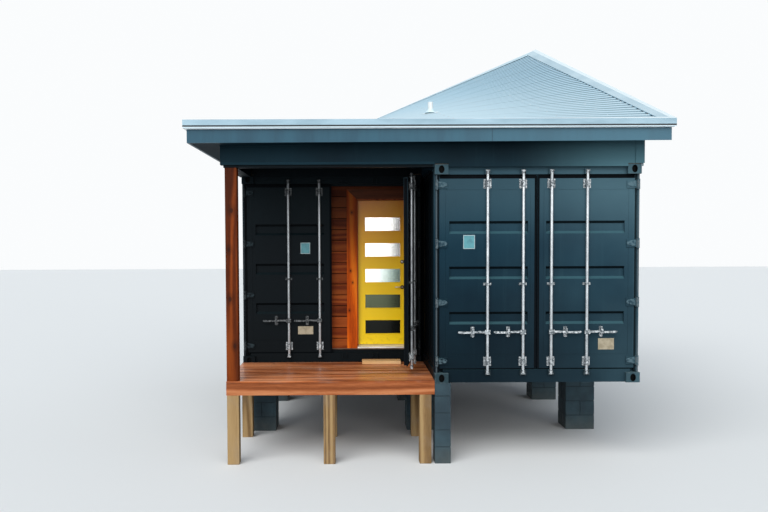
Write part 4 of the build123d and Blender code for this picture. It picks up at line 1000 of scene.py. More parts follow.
# Entrance wall: oiled cedar boards laid level on a framed wall, each with a gap over it, where
# the wall behind is painted near black as painted shade. They stop against the door casing and
# run on over the head, darker towards the head as painted shade from the porch.
def timber(name, grain, tones, board=None, knots=0.0, roughness=0.5, figure=1.0, coat=0.0,
           tone_change=0.35, weather=0.0, shade=None):
    """Boards along the grain axis; board is (axis, start, pitch), and shade, a painted shade, is (axis,
    from, to, amount).
    """
    finish = Finish(name, roughness=roughness, Coat_Weight=coat, Specular_IOR_Level=0.10)
    slow = tuple(0.055 if axis == grain else 1.0 for axis in "XYZ")
    knotty = tuple(0.34 if axis == grain else 1.0 for axis in "XYZ")
    place = finish.place
    tone = 0.5
    if board:
        axis, start, pitch = board
        number = ((finish.along(axis) - start) / pitch).rounded_down()
        shift = finish.shaded(finish.random(number, out="Color"), 7.3)
        place = finish.node("VectorMath", {0: finish.place, 1: shift}, operation="ADD")
        tone = finish.random(number + 0.37)
    bend = finish.noise(2.2, slow, detail=2, place=place)
    growth = finish.node("Math", {0: bend * 62 * figure}, operation="SINE") * 0.5 + 0.5
    fibre = finish.noise(120, slow, detail=4, roughness=0.7, place=place)
    pores = finish.noise(420, slow, detail=2, place=place)
    mass = growth * 0.38 + fibre * 0.5 + finish.noise(1.1, slow, place=place) * 0.35
    colour = finish.ramp(mass.band(0.18, 0.98), *tones)
    if board:
        colour = finish.shaded(colour, 1.0 - tone_change / 2 + tone * tone_change)
    if shade:
        axis, start, end, amount = shade
        # Painted shade: darker along a band of an axis.
        colour = finish.shaded(colour, 1.0 - finish.along(axis).band(start, end) * amount)
    height = growth * 0.35 + fibre * 0.8 - pores.band(0.5, 0.75) * 0.5
    if knots:
        spots = finish.cells(3.1, knotty, place=place)
        cell = finish.cells(3.1, knotty, out="Color", place=place)
        chance = finish.node("SeparateColor", {0: cell})
        knot = spots.band(0.115, 0.070) * (chance < knots)
        halo = spots.band(0.30, 0.10) * (chance < knots)
        colour = finish.mix(halo * 0.45, colour, tones[0])
        colour = finish.mix(knot * 0.88, colour, finish.shaded(tones[0][:3], 0.28))
        height = height - knot * 0.8
    if weather:
        grey = finish.noise(3, detail=5).band(0.45, 0.75) * weather
        colour = finish.mix(grey, colour, srgb(150, 142, 134))
    finish.set(Base_Color=colour, Roughness=roughness + fibre * 0.18 - growth * 0.05)
    finish.relief(height, 0.0011)
    finish.colour = colour
    return finish


def knotted(finish, knots, stretch):
    """Sound knots at given places: each is (x, y, z, radius), with a darker halo round it."""
    colour = finish.colour
    for x, y, z, radius in knots:
        centre = tuple(a * b for a, b in zip((x, y, z), stretch))
        away = finish.node("VectorMath", {0: finish.stretched(stretch), 1: centre},
                           out="Value", operation="DISTANCE")
        colour = finish.shaded(colour, 1.0 - away.band(radius * 2.6, radius) * 0.35)
        colour = finish.mix(away.band(radius, radius * 0.45) * 0.85, colour, srgb(44, 18, 9))
    finish.set(Base_Color=colour)


WALL_LOW, WALL_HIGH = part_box("entrance_wall")
HEAD_LOW, HEAD_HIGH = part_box("wall_over_door")
CEDAR_PITCH = 0.1513
CEDAR_START = 1.152
CEDAR_GAP = 0.009
CEDAR_THICK = 0.014
GAP_DEPTH = 0.012
INNER_SHEET = 0.012
CEDAR_TONES = (srgb(66, 24, 8), srgb(116, 48, 16), srgb(148, 74, 28))

# Painted shade: the boards darken towards the head under the porch.
cedar_boards = timber("cedar_boards", "X", CEDAR_TONES, ("Z", CEDAR_START, CEDAR_PITCH), knots=0.30,
                      roughness=0.5, tone_change=0.45, shade=("Z", 2.3, 3.3, 0.66))
# Painted shade: the studwork behind the boards is near black, so the gaps between boards read dark.
dark_gap = Finish("shadow_gap", roughness=0.9, Specular_IOR_Level=0.1)
dark_gap.mottled(20, srgb(10, 7, 6), srgb(22, 14, 11))

wall_boards = Shapes()
wall_core = Shapes()
inner_sheets = Shapes()
for low, high in ((WALL_LOW, WALL_HIGH), (HEAD_LOW, HEAD_HIGH)):
    wall_core.board((low.x, low.y + GAP_DEPTH, low.z), (high.x, high.y - INNER_SHEET, high.z), 0.001)
    inner_sheets.board((low.x + 0.002, high.y - INNER_SHEET, low.z + 0.003),
                       (high.x - 0.001, high.y, high.z - 0.003), 0.001)
    course = 0
    while CEDAR_START + course * CEDAR_PITCH < high.z:
        foot = max(CEDAR_START + course * CEDAR_PITCH, low.z)
        head = min(CEDAR_START + (course + 1) * CEDAR_PITCH - CEDAR_GAP, high.z)
        course += 1
        if head - foot > 0.01:
            wall_boards.board((low.x + 0.001, low.y, foot),
                              (high.x - 0.001, low.y + CEDAR_THICK, head), 0.003)
cedar_piece = wall_boards.as_piece("entrance_boards", cedar_boards, "cedar")
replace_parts(cedar_piece, "entrance_wall", "wall_over_door")
wall_core.as_piece("entrance_studwork", dark_gap, "cedar")
inner_sheets.as_piece("entrance_lining", lining_ply, "inner_lining")


# Door casing: flat cedar boards nailed over the wall boards, mitred at the wide left corner,
# bright orange low down and darker towards the head, as painted shade from the porch.
CASING_LOW, CASING_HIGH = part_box("door_casing")
CASING_EDGE = 0.002
CASING_TONES = (srgb(134, 44, 4), srgb(214, 92, 8), srgb(240, 128, 26))
MITRE = 0.001
CASING_REVEAL = 0.006
HEAD_BOARD = 0.135
inner_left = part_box("threshold")[0].x - CASING_REVEAL
inner_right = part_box("threshold")[1].x + CASING_REVEAL
head_low = CASING_HIGH.z - HEAD_BOARD
casing_knots = [(x, CASING_LOW.y, z, radius) for x, z, radius in (
    (-0.880, 3.046, 0.016), (-0.901, 2.239, 0.013), (-0.872, 2.077, 0.011), (-0.918, 1.689, 0.013))]

side_cedar = timber("casing_upright", "Z", CASING_TONES, ("X", CASING_LOW.x - 0.5, 0.5), roughness=0.45,
                    tone_change=0.1, shade=("Z", 2.0, 3.15, 0.66))
knotted(side_cedar, casing_knots, (1, 0.5, 0.7))
# Painted shade: the head board's cedar is a darker copy of the uprights' tones.
shaded_head_cedar = timber("casing_head", "X", (srgb(58, 30, 18), srgb(92, 48, 28), srgb(122, 68, 38)),
                    ("Z", CASING_LOW.z, 5.0), knots=0.22, roughness=0.45, tone_change=0.1)


def casing_board(shapes, *outline):
    """A flat board in the casing's plane, whose front arrises are planed off."""
    corners = [Vector(corner) for corner in outline]
    inset = []
    for before, here, after in zip(corners[-1:] + corners, corners, corners[1:] + corners[:1]):
        first = (here - before).normalized()
        second = (after - here).normalized()
        turn = Vector((-first.y - second.y, first.x + second.x)) / (1 + first.dot(second))
        inset.append(here + turn * CASING_EDGE)
    shapes.loft([[(x, y, z) for x, z in ring] for y, ring in (
        (CASING_HIGH.y, corners), (CASING_LOW.y + CASING_EDGE, corners), (CASING_LOW.y, inset))])


uprights = Shapes()
casing_board(uprights, (CASING_LOW.x, CASING_LOW.z), (inner_left, CASING_LOW.z),
             (inner_left, head_low - MITRE), (CASING_LOW.x, CASING_HIGH.z - MITRE))
casing_board(uprights, (inner_right, CASING_LOW.z), (CASING_HIGH.x, CASING_LOW.z),
             (CASING_HIGH.x, head_low - MITRE), (inner_right, head_low - MITRE))
upright_piece = uprights.as_piece("casing_uprights", side_cedar, "cedar")
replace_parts(upright_piece, "door_casing")
head_board = Shapes()
casing_board(head_board, (inner_left, head_low), (CASING_HIGH.x, head_low), CASING_HIGH.xz,
             (CASING_LOW.x, CASING_HIGH.z))
head_board.as_piece("casing_head", shaded_head_cedar, "cedar")
# Painted shade: the frame darkens towards its head.
frame_cedar = timber("frame_cedar", "Z", (srgb(92, 42, 20), srgb(148, 72, 34), srgb(184, 98, 50)),
                     roughness=0.5, shade=("Z", 2.2, 3.1, 0.4))
paint_node("door_frame", frame_cedar)


# Threshold: extruded aluminium with fine ribs across the walk, screwed down under the frame,
# mottled in paler and duller streaks along its length.
aluminium = Finish("mill_aluminium", roughness=0.38, metallic=0.4)
rub = aluminium.noise(14, stretch=(0.3, 3, 1), detail=5)
ribs = aluminium.node("Math", {0: aluminium.along("Y") * 900}, operation="SINE")
aluminium.set(Base_Color=aluminium.mix(rub.band(0.4, 0.7), srgb(244, 240, 232), srgb(206, 198, 186)),
              Roughness=0.28 + rub * 0.3)
aluminium.relief(ribs * 0.5, 0.0008)
paint_node("threshold", aluminium)


# Entry door: a flush door in satin yellow enamel, with five equal frosted lites, one above
# another, each held by a small painted bead on both faces.
DOOR_LOW, DOOR_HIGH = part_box("entry_door")
GLASS_LOW, GLASS_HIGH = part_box("door_glass")
LITE_COUNT = 5
LITE_HEIGHT = 0.187
LITE_PITCH = (GLASS_HIGH.z - GLASS_LOW.z - LITE_HEIGHT) / (LITE_COUNT - 1)
BEAD_WIDTH = 0.012
BEAD_OUT = 0.006
BEAD_LAP = 0.001

enamel = Finish("yellow_enamel", roughness=0.34, Coat_Weight=0.08, Coat_Roughness=0.2,
                Specular_IOR_Level=0.3)
brushed = enamel.noise(90, stretch=(1, 1, 0.06), detail=3)
worn = enamel.noise(2.1, detail=5)
up_door = (enamel.along("Z") - DOOR_LOW.z) / (DOOR_HIGH.z - DOOR_LOW.z)
# Painted shade: the yellow darkens to orange towards the top of the door, under the porch.
yellow = enamel.ramp(up_door, srgb(255, 218, 2), srgb(255, 216, 2), srgb(255, 210, 4), srgb(255, 184, 6),
                     srgb(200, 118, 14))
yellow = enamel.mix(worn.band(0.45, 0.75) * 0.25, yellow, srgb(240, 186, 14))
scuff = enamel.along("Z").band(DOOR_LOW.z + 0.20, DOOR_LOW.z) * enamel.noise(16, detail=6).band(0.5, 0.7)
enamel.set(Base_Color=enamel.mix(scuff * 0.4, yellow, srgb(150, 112, 34)),
           Roughness=0.30 + brushed * 0.12 + worn * 0.08)
enamel.relief(brushed * 0.6 + worn * 0.3, 0.0005)
paint_node("entry_door", enamel)

beads = Shapes()
for lite in range(LITE_COUNT):
    foot = GLASS_LOW.z + lite * LITE_PITCH - BEAD_WIDTH + BEAD_LAP
    head = foot + LITE_HEIGHT + 2 * (BEAD_WIDTH - BEAD_LAP)
    left = GLASS_LOW.x - BEAD_WIDTH + BEAD_LAP
    right = GLASS_HIGH.x + BEAD_WIDTH - BEAD_LAP
    for face, out in ((DOOR_LOW.y, -1), (DOOR_HIGH.y, 1)):
        y0, y1 = sorted((face + out * BEAD_OUT, face))
        for x0, x1, z0, z1 in ((left, right, foot, foot + BEAD_WIDTH),
                               (left, right, head - BEAD_WIDTH, head),
                               (left, left + BEAD_WIDTH, foot + BEAD_WIDTH, head - BEAD_WIDTH),
                               (right - BEAD_WIDTH, right, foot + BEAD_WIDTH, head - BEAD_WIDTH)):
            beads.board((x0, y0, z0), (x1, y1, z1), 0.004)
beads.as_piece("lite_beads", enamel, "door_paint", "entry_door")


# Frosted glass, etched on its outer face. Each pane has its own painted reflection: the upper
# three white like the sky, the lower two dark, and the middle one greying to the right.
PANE_REFLECTIONS = (srgb(20, 21, 16), srgb(86, 94, 72), srgb(248, 253, 252), srgb(254, 255, 252),
              srgb(255, 255, 252))

frosted = Finish("frosted_panes", roughness=0.2, metallic=0.8, Coat_Weight=0.1, Coat_Roughness=0.06)
pane = ((frosted.along("Z") - GLASS_LOW.z + 0.02) / LITE_PITCH).rounded_down()
pane_reflection = frosted.ramp(pane / (LITE_COUNT - 1), *PANE_REFLECTIONS)
across = frosted.along("X").band(GLASS_LOW.x + 0.02, GLASS_HIGH.x - 0.01)
# Painted reflection: the middle pane greys towards the right.
third = (pane > 1.5) * (pane < 2.5)
pane_reflection = frosted.mix(third * across, pane_reflection, srgb(170, 194, 182))
etched = frosted.noise(900, detail=2)
frosted.set(Base_Color=frosted.shaded(pane_reflection, 0.90 + frosted.noise(5, detail=3) * 0.12),
            Roughness=0.14 + etched * 0.08)
frosted.relief(etched, 0.0002)
paint_node("door_glass", frosted)


# Door hardware: oil-rubbed bronze roses and butt hinges, brushed nickel levers on both faces,
# and a deadbolt with a nickel key cylinder, which has no key hole cut in it.
LEVER_X = DOOR_HIGH.x - 0.077
LEVER_Z = DOOR_LOW.z + 0.800
BOLT_Z = DOOR_LOW.z + 1.155
LEVER_REACH = 0.106
ROSE = ((0, 0.027), (0.005, 0.027), (0.008, 0.025), (0.010, 0.020), (0.0102, 0.012))
LEVER_NECK = ((0.009, 0.012), (0.014, 0.0095), (0.028, 0.009), (0.036, 0.0105), (0.041, 0.008))
LEVER_BOW = 0.004
LEVER_OUT = 0.037
# The lever's radius at each distance from its neck.
LEVER_GRIP = {0.000: 0.0078, 0.020: 0.0074, 0.045: 0.0066, 0.075: 0.0066, 0.098: 0.0060,
              LEVER_REACH: 0.0030}
KEY_CYLINDER = ((0.009, 0.0165), (0.016, 0.0160), (0.019, 0.0130), (0.0195, 0.0090))
THUMB_TURN = ((0.009, 0.010), (0.020, 0.009))
HINGE_PLACES = (0.220, 1.008, 1.796)
KNUCKLE = ((-0.030, 0.0066), (-0.029, 0.007), (0.029, 0.007), (0.030, 0.0066))
HINGE_HALF = 0.030
HINGE_LEAF = 0.036

bronze = Finish("oil_rubbed_bronze", roughness=0.36, metallic=0.8)
handled = bronze.noise(26, detail=5)
bronze.set(Base_Color=bronze.mix(handled.band(0.45, 0.7), srgb(50, 42, 38), srgb(96, 78, 62)),
           Roughness=0.30 + handled * 0.22)
bronze.relief(bronze.noise(300), 0.0002)
nickel = Finish("brushed_nickel", roughness=0.3, metallic=0.9)
nickel.mottled(60, srgb(206, 202, 194), srgb(168, 164, 156), stretch=(1, 1, 8))

roses = Shapes()
levers = Shapes()
for face, out in ((DOOR_LOW.y, -1), (DOOR_HIGH.y, 1)):
    for level in (LEVER_Z, BOLT_Z):
        turned(roses, ROSE, (LEVER_X, face, level), (0, out, 0), 28)
    turned(levers, LEVER_NECK, (LEVER_X, face, LEVER_Z), (0, out, 0), 20)
    grip = []
    for along in LEVER_GRIP:
        bow = LEVER_BOW * sin(pi * along / LEVER_REACH)
        grip.append((LEVER_X - along, face + out * (LEVER_OUT + bow), LEVER_Z + bow))
    bar(levers, grip, list(LEVER_GRIP.values()), 14)
turned(levers, KEY_CYLINDER, (LEVER_X, DOOR_LOW.y, BOLT_Z), (0, -1, 0), 24)
turned(roses, THUMB_TURN, (LEVER_X, DOOR_HIGH.y, BOLT_Z), (0, 1, 0), 20)
roses.board((LEVER_X - 0.004, DOOR_HIGH.y + 0.018, BOLT_Z - 0.020),
            (LEVER_X + 0.004, DOOR_HIGH.y + 0.030, BOLT_Z + 0.020), 0.002)
joint = next(j for j in frame["joints"] if j["child"] == "entry_door")
hinge_x, hinge_y = joint["pos_m"][:2]
for level in HINGE_PLACES:
    middle = DOOR_LOW.z + level
    turned(roses, KNUCKLE, (hinge_x, hinge_y, middle), (0, 0, 1), 18)
    roses.board((hinge_x, DOOR_HIGH.y, middle - HINGE_HALF),
                (hinge_x + HINGE_LEAF, hinge_y - 0.003, middle + HINGE_HALF), 0.0008)
rose_piece = roses.as_piece("door_roses_and_hinges", bronze, "dark_bronze", "entry_door", smooth=True)
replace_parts(rose_piece, "door_hardware")
levers.as_piece("door_levers", nickel, "dark_bronze", "entry_door", smooth=True)
paint_node("door_hinge_pins", bronze)


# Porch deck: red-brown stained boards from side to side with eased edges, two screws at each
# joist, on a frame of joists and square legs down to the ground.
STAIN = (srgb(92, 44, 18), srgb(164, 90, 48), srgb(212, 142, 98))
SCREW_IN = 0.032
SCREW_HEAD = ((0, 0.0042), (0.0006, 0.0042), (0.0009, 0.0015))
deck_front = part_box("deck_boards")[0].y
deck_parts = islands("deck_boards")
deck_pitch = deck_parts[1][0].y - deck_parts[0][0].y

deck_stain = timber("deck_stain", "X", STAIN, ("Y", deck_front - 0.002, deck_pitch), knots=0.10,
                    roughness=0.32, tone_change=0.34, coat=0.15, weather=0.25)
edge_stain = timber("deck_edge_stain", "X", (srgb(104, 52, 26), srgb(160, 92, 54), srgb(196, 130, 88)),
                    ("Y", deck_front - 3, 7), knots=0.10, roughness=0.5, tone_change=0.1)
boards = Shapes()
screws = Shapes()
joist_places = [(low.x + high.x) / 2 for low, high in islands("deck_frame") if high.x - low.x < 0.1]
for low, high in deck_parts:
    boards.board(low, high, 0.003)
    for joist in joist_places:
        x = min(max(joist, low.x + 0.03), high.x - 0.03)
        for y in (low.y + SCREW_IN, high.y - SCREW_IN):
            turned(screws, SCREW_HEAD, (x, y, high.z - 0.0003), (0, 0, 1), 8)
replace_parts(boards.as_piece("deck_planks", deck_stain, "deck_stain"), "deck_boards")
screws.as_piece("deck_screws", bronze, "dark_bronze")
paint_node("deck_frame", edge_stain)


# Deck legs: square posts of plain sawn timber, greyed by the weather, cut off level with the
# frame. The same timber makes the upper wall studs and the rafters.
leg_timber = timber("leg_timber", "Z", (srgb(92, 70, 46), srgb(140, 112, 76), srgb(172, 144, 102)),
                    knots=0.25, roughness=0.7, weather=0.3)
legs = Shapes()
for low, high in islands("deck_legs"):
    legs.board(low, high, 0.004)
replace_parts(legs.as_piece("deck_leg_timbers", leg_timber, "framing_timber"), "deck_legs")


# Doorstep: a thick plank of pale, unfinished wood with eased edges. It lies loose in front of
# the sill, on the deck.
plank_wood = timber("step_plank", "X", (srgb(172, 122, 76), srgb(206, 162, 110), srgb(226, 190, 142)),
                    knots=0.2, roughness=0.6)
step = Shapes().board(*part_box("doorstep"), 0.005)
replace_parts(step.as_piece("doorstep_plank", plank_wood, "framing_timber"), "doorstep")


# Porch post: one sawn cedar timber, stained red-brown, with sound knots and planed arrises.
# It stands on the deck's end joist and carries the corner of the porch beams.
POST_KNOTS = ((0.075, 3.020, 0.026), (0.040, 2.560, 0.022), (0.050, 1.975, 0.026), (0.100, 1.420, 0.024))
post_low, post_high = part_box("porch_post")

# Painted shade: the post darkens towards its head under the porch roof.
post_wood = timber("post_stain", "Z", (srgb(48, 16, 2), srgb(94, 38, 8), srgb(134, 62, 18)),
                   roughness=0.46, figure=1.4, shade=("Z", 2.7, 3.4, 0.3))
post_knots = [(post_low.x + across, post_low.y, level, radius) for across, level, radius in POST_KNOTS]
knotted(post_wood, post_knots, (1, 1, 0.62))
post = Shapes().board(post_low, post_high, 0.005)
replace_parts(post.as_piece("post_timber", post_wood, "post_stain"), "porch_post")


# Upper walls and beams: smooth boards painted the same dark teal as the boxes, cut to clear
# the castings, with battens over their joints and a small moulding under the soffit.
ROOF_LOW, ROOF_HIGH = cad_box
ROOF_WIDTH = ROOF_HIGH.x - ROOF_LOW.x
ROOF_DEPTH = ROOF_HIGH.y - ROOF_LOW.y
TRIM_HEIGHT = 0.093
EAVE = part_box("edge_trim")[0].z + TRIM_HEIGHT
CORNER_RISE = ROOF_HIGH.z - EAVE
UNDER_RAFTERS = 0.242
UNDER_SOFFIT = 0.257
BOARD_THICK = 0.014
SKIN_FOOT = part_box("upper_cladding")[0].z
PORCH_FOOT = CONTAINER_TOP - 0.001
HEADER_END = 0.035
OVER_CASTING = CONTAINER_TOP + 0.004
BATTEN = (0.052, 0.015)
BATTEN_PITCH = 1.22
MOULDING = 0.022
CORNER_BOARD = (0.095, 0.010)
PAST_BEAM = 0.142
CASTING_CLEAR = 0.003

board_paint = Finish("painted_boards", roughness=0.6, Specular_IOR_Level=0.07)
drift = board_paint.noise(1.1, detail=4)
streak = board_paint.noise(2.4, stretch=(5, 5, 0.4), detail=4)
board_colour = board_paint.mix(drift.band(0.3, 0.7), srgb(15, 36, 46), srgb(21, 47, 58))
board_colour = board_paint.mix(streak.band(0.55, 0.8) * 0.25, board_colour, srgb(38, 64, 74))
across = board_paint.along("X")
depth = board_paint.along("Y")
# Painted light: the boards pale towards the right.
board_colour = board_paint.mix(across.band(0.9, 2.45) * 0.85, board_colour, srgb(84, 124, 136))
# Painted shade: inside the porch the boards are painted near black.
in_porch = ((depth > RIGHT_FRONT - 0.004) * (depth < REAR - 1.0)
            * (across < MIDDLE_RIGHT - 0.02) * (across > LEFT_SIDE - 0.004))
board_paint.set(Base_Color=board_paint.mix(in_porch * 0.85, board_colour, srgb(3, 5, 7)),
                Roughness=0.5 + drift * 0.14)
board_paint.relief(board_paint.noise(120, stretch=(0.1, 0.1, 1), detail=3), 0.0004)
paint_node("porch_beams", board_paint)
paint_node("upper_walls", leg_timber)


def roof(offset):
    """A height that follows the warped roof, which rises to the far right corner only."""
    def height(x, y):
        return (EAVE + CORNER_RISE * (x - ROOF_LOW.x) / ROOF_WIDTH * (y - ROOF_LOW.y) / ROOF_DEPTH
                + offset)
    return height


def flat(height):
    return lambda x, y: height


def warped(shapes, x_span, y_span, bottom, top, pieces=1):
    """A block whose bottom and top are heights that vary over the plan."""
    (x0, x1), (y0, y1) = sorted(x_span), sorted(y_span)
    rings = []
    for i in range(pieces + 1):
        t = i / pieces
        if x1 - x0 > y1 - y0:
            x = x0 + (x1 - x0) * t
            near, far = (x, y0), (x, y1)
        else:
            y = y0 + (y1 - y0) * t
            near, far = (x1, y), (x0, y)
        rings.append([(*near, bottom(*near)), (*far, bottom(*far)), (*far, top(*far)), (*near, top(*near))])
    shapes.loft(rings)


def on_wall(shapes, axis, run, depth, bottom, top, pieces=1):
    """A warped block by its run along a wall that follows an axis, and its depth across it."""
    x_span, y_span = (run, depth) if axis == "X" else (depth, run)
    warped(shapes, x_span, y_span, bottom, top, pieces)


top_castings = [box for box in islands("corner_castings") if box[1].z > CONTAINER_TOP - 0.01]
# Each skin: the axis it runs along, its start and end, the wall plane behind it, the side it
# faces, and whether it has battens.
SKINS = (
    ("X", LEFT_SIDE - BOARD_THICK - HEADER_END, RIGHT_SIDE + BOARD_THICK, RIGHT_FRONT, -1, False),
    ("X", LEFT_SIDE - BOARD_THICK, RIGHT_SIDE + BOARD_THICK, REAR, 1, True),
    ("Y", RIGHT_FRONT, REAR, LEFT_SIDE, -1, True),
    ("Y", RIGHT_FRONT, REAR, RIGHT_SIDE, 1, True),
    ("X", LEFT_SIDE + PAST_BEAM, MIDDLE_RIGHT - BOARD_THICK, LEFT_FRONT, -1, False),
    ("Y", RIGHT_FRONT + PAST_BEAM, LEFT_FRONT - BOARD_THICK, MIDDLE_RIGHT, -1, False),
)
skins = Shapes()
battens = Shapes()
for axis, start, end, plane, out, battened in SKINS:
    run, across = (0, 1) if axis == "X" else (1, 0)
    on_beam = axis == "X" and plane == RIGHT_FRONT
    cuts = [start, end, MIDDLE_RIGHT] if on_beam else [start, end]
    covered = []
    for low, high in top_castings:
        touches = low[across] - CASTING_CLEAR < plane < high[across] + CASTING_CLEAR
        if touches and low[run] < end and high[run] > start:
            covered.append((low[run] - CASTING_CLEAR, high[run] + CASTING_CLEAR))
            cuts += [c for c in covered[-1] if start < c < end]
    cuts.sort()
    face = plane + out * BOARD_THICK
    for a, b in zip(cuts, cuts[1:]):
        if b - a < 0.001:
            continue
        notched = any(low < (a + b) / 2 < high for low, high in covered)
        foot = OVER_CASTING if notched else SKIN_FOOT
        if on_beam and b < MIDDLE_RIGHT + 0.001:
            foot = PORCH_FOOT
        on_wall(skins, axis, (a, b), (plane, face), flat(foot), roof(-UNDER_RAFTERS), 3)
    on_wall(battens, axis, (start, end), (face, face + out * MOULDING),
            roof(-UNDER_SOFFIT - MOULDING), roof(-UNDER_SOFFIT), 4)
    place = start + BATTEN_PITCH
    while battened and place < end - 0.3:
        on_wall(battens, axis, (place - BATTEN[0] / 2, place + BATTEN[0] / 2),
                (face, face + out * BATTEN[1]), flat(OVER_CASTING + 0.002), roof(-UNDER_SOFFIT))
        place += BATTEN_PITCH
skin_piece = skins.as_piece("cladding_boards", board_paint, "dark_cladding")
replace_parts(skin_piece, "upper_cladding")
battens.as_piece("battens_and_mouldings", board_paint, "dark_cladding")


# Ledge and corner boards: a sloped rail of painted wood along the foot of the porch beam, and
# a board round each outer corner above the castings.
LEDGE_HEIGHT = 0.030
LEDGE_OUT = 0.012
LEDGE_TOP = 0.003
ledge_paint = Finish("ledge_paint", roughness=0.6, Specular_IOR_Level=0.07)
ledge_paint.mottled(5, srgb(20, 44, 55), srgb(30, 58, 70), stretch=(0.4, 1, 1), detail=4)
face_y = RIGHT_FRONT - BOARD_THICK
face_x = LEFT_SIDE - BOARD_THICK
ledge_outline = [(face_y - LEDGE_OUT, PORCH_FOOT), (face_y, PORCH_FOOT),
                 (face_y, PORCH_FOOT + LEDGE_HEIGHT), (face_y - LEDGE_TOP, PORCH_FOOT + LEDGE_HEIGHT)]
ledge = Shapes().loft([[(x, y, z) for y, z in ledge_outline]
                       for x in (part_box("porch_beams")[1].x, face_x - HEADER_END)])
ledge.as_piece("beam_ledge", ledge_paint, "dark_cladding")

corner_boards = Shapes()
wide, out = CORNER_BOARD
for x, x_out in ((face_x, -1), (RIGHT_SIDE + BOARD_THICK, 1)):
    for y, y_out in ((face_y, -1), (REAR + BOARD_THICK, 1)):
        if (x_out, y_out) == (-1, -1):
            warped(corner_boards, (x - HEADER_END, x), (y + BOARD_THICK, y + wide),
                   flat(PORCH_FOOT), roof(-UNDER_SOFFIT))
            continue
        for x_span, y_span in (((x - x_out * wide, x + x_out * out), (y, y + y_out * out)),
                               ((x, x + x_out * out), (y - y_out * wide, y))):
            warped(corner_boards, x_span, y_span, flat(OVER_CASTING), roof(-UNDER_SOFFIT))
corner_boards.as_piece("corner_boards", board_paint, "dark_cladding")


# Eaves: rafters boxed in by painted soffit panels and by a blue-grey metal fascia, bent from
# 12 ft lengths. The trim over it is grooved near its foot, with a pale lip and drip edge.
SOFFIT_PITCH = 0.61
FASCIA_LENGTH = 3.66
FASCIA_JOINT_X = 0.71
DRIP_HEIGHT = 0.012
FASCIA_SEAM = 0.005
TRIM_GROOVE = (0.064, 0.082)
DRIP_OUT = 0.024


def seams(finish, axis, start, pitch, width):
    """1 on narrow lines that stand across an axis at a pitch."""
    return ((finish.along(axis) - start) / pitch).fraction() < width / pitch


def run_seams(finish, on_end, starts, pitch, width):
    """Seams across the runs of both ends, and across those of both sides."""
    return (on_end * seams(finish, "X", starts[0], pitch, width)
            + (1 - on_end) * seams(finish, "Y", starts[1], pitch, width))


paint_node("rafters", leg_timber)
soffit_paint = Finish("soffit_panels", roughness=0.7, Specular_IOR_Level=0.06)
panel_tone = soffit_paint.noise(1.3, detail=4).band(0.3, 0.7)
across = soffit_paint.along("X")
depth = soffit_paint.along("Y")
on_end = ((depth < RIGHT_FRONT - BOARD_THICK) + (depth > REAR + BOARD_THICK)
          + (across < MIDDLE_RIGHT - BOARD_THICK) * (depth < LEFT_FRONT)) > 0.5
panel_seam = run_seams(soffit_paint, on_end, (0.3, 0.1), SOFFIT_PITCH, 0.006)
panel_colour = soffit_paint.mix(panel_tone, srgb(14, 32, 42), srgb(22, 44, 54))
soffit_paint.set(Base_Color=soffit_paint.mix(panel_seam, panel_colour, srgb(2, 4, 5)))
soffit_paint.relief(panel_seam * -1.0, 0.002)
paint_node("soffits", soffit_paint)

fascia_metal = Finish("fascia_metal", roughness=0.45, Specular_IOR_Level=0.25)
wash = fascia_metal.noise(1.4, stretch=(3, 3, 0.5), detail=5)
grime = fascia_metal.noise(3.1, stretch=(6, 6, 0.3), detail=4)
fascia_colour = fascia_metal.mix(wash.band(0.3, 0.7), srgb(30, 70, 89), srgb(40, 84, 103))
fascia_colour = fascia_metal.mix(grime.band(0.55, 0.8) * 0.35, fascia_colour, srgb(28, 58, 72))
# Painted light: the fascia pales towards the right.
fascia_colour = fascia_metal.mix(fascia_metal.along("X").band(-1.5, 2.7) * 0.4, fascia_colour,
                                 srgb(92, 134, 152))
depth = fascia_metal.along("Y")
on_end = (depth < ROOF_LOW.y + 0.07) + (depth > ROOF_HIGH.y - 0.07) > 0.5
butt = run_seams(fascia_metal, on_end, (FASCIA_JOINT_X - FASCIA_SEAM / 2, 0.30), FASCIA_LENGTH, FASCIA_SEAM)
fascia_metal.set(Base_Color=fascia_metal.mix(butt * 0.8, fascia_colour, srgb(12, 22, 28)),
                 Roughness=0.36 + wash * 0.14)
fascia_metal.relief(fascia_metal.noise(2.2, stretch=(2, 2, 0.3)) - butt * 0.5, 0.0015)
paint_node("fascia_boards", fascia_metal)

trim_metal = Finish("edge_trim_metal", roughness=0.36, metallic=0.25)
film = trim_metal.noise(2.0, stretch=(1, 1, 4), detail=5)
trim_colour = trim_metal.mix(film.band(0.3, 0.75), srgb(144, 172, 187), srgb(124, 152, 167))
facing = facing_up(trim_metal)
# Painted light: the trim is paler on faces that look up.
trim_colour = trim_metal.mix(facing.band(0.5, 0.8), trim_colour, srgb(206, 224, 232))
over_x = (trim_metal.along("X") - ROOF_LOW.x) / ROOF_WIDTH
over_y = (trim_metal.along("Y") - ROOF_LOW.y) / ROOF_DEPTH
down = over_x * over_y * CORNER_RISE + EAVE - trim_metal.along("Z")
# Painted shade: the groove near the trim's foot is near black.
groove_shade = (down > TRIM_GROOVE[0]) * (down < TRIM_GROOVE[1]) * (facing < 0.5)
lip = (down > TRIM_GROOVE[1]) * (facing < 0.5)
trim_colour = trim_metal.mix(lip, trim_colour, srgb(190, 210, 220))
trim_metal.set(Base_Color=trim_metal.mix(groove_shade, trim_colour, srgb(16, 24, 29)),
               Roughness=0.30 + film * 0.16)
trim_metal.relief(trim_metal.noise(1.6, stretch=(2, 2, 1)) * 0.3 - groove_shade * 0.7, 0.003)
paint_node("edge_trim", trim_metal)

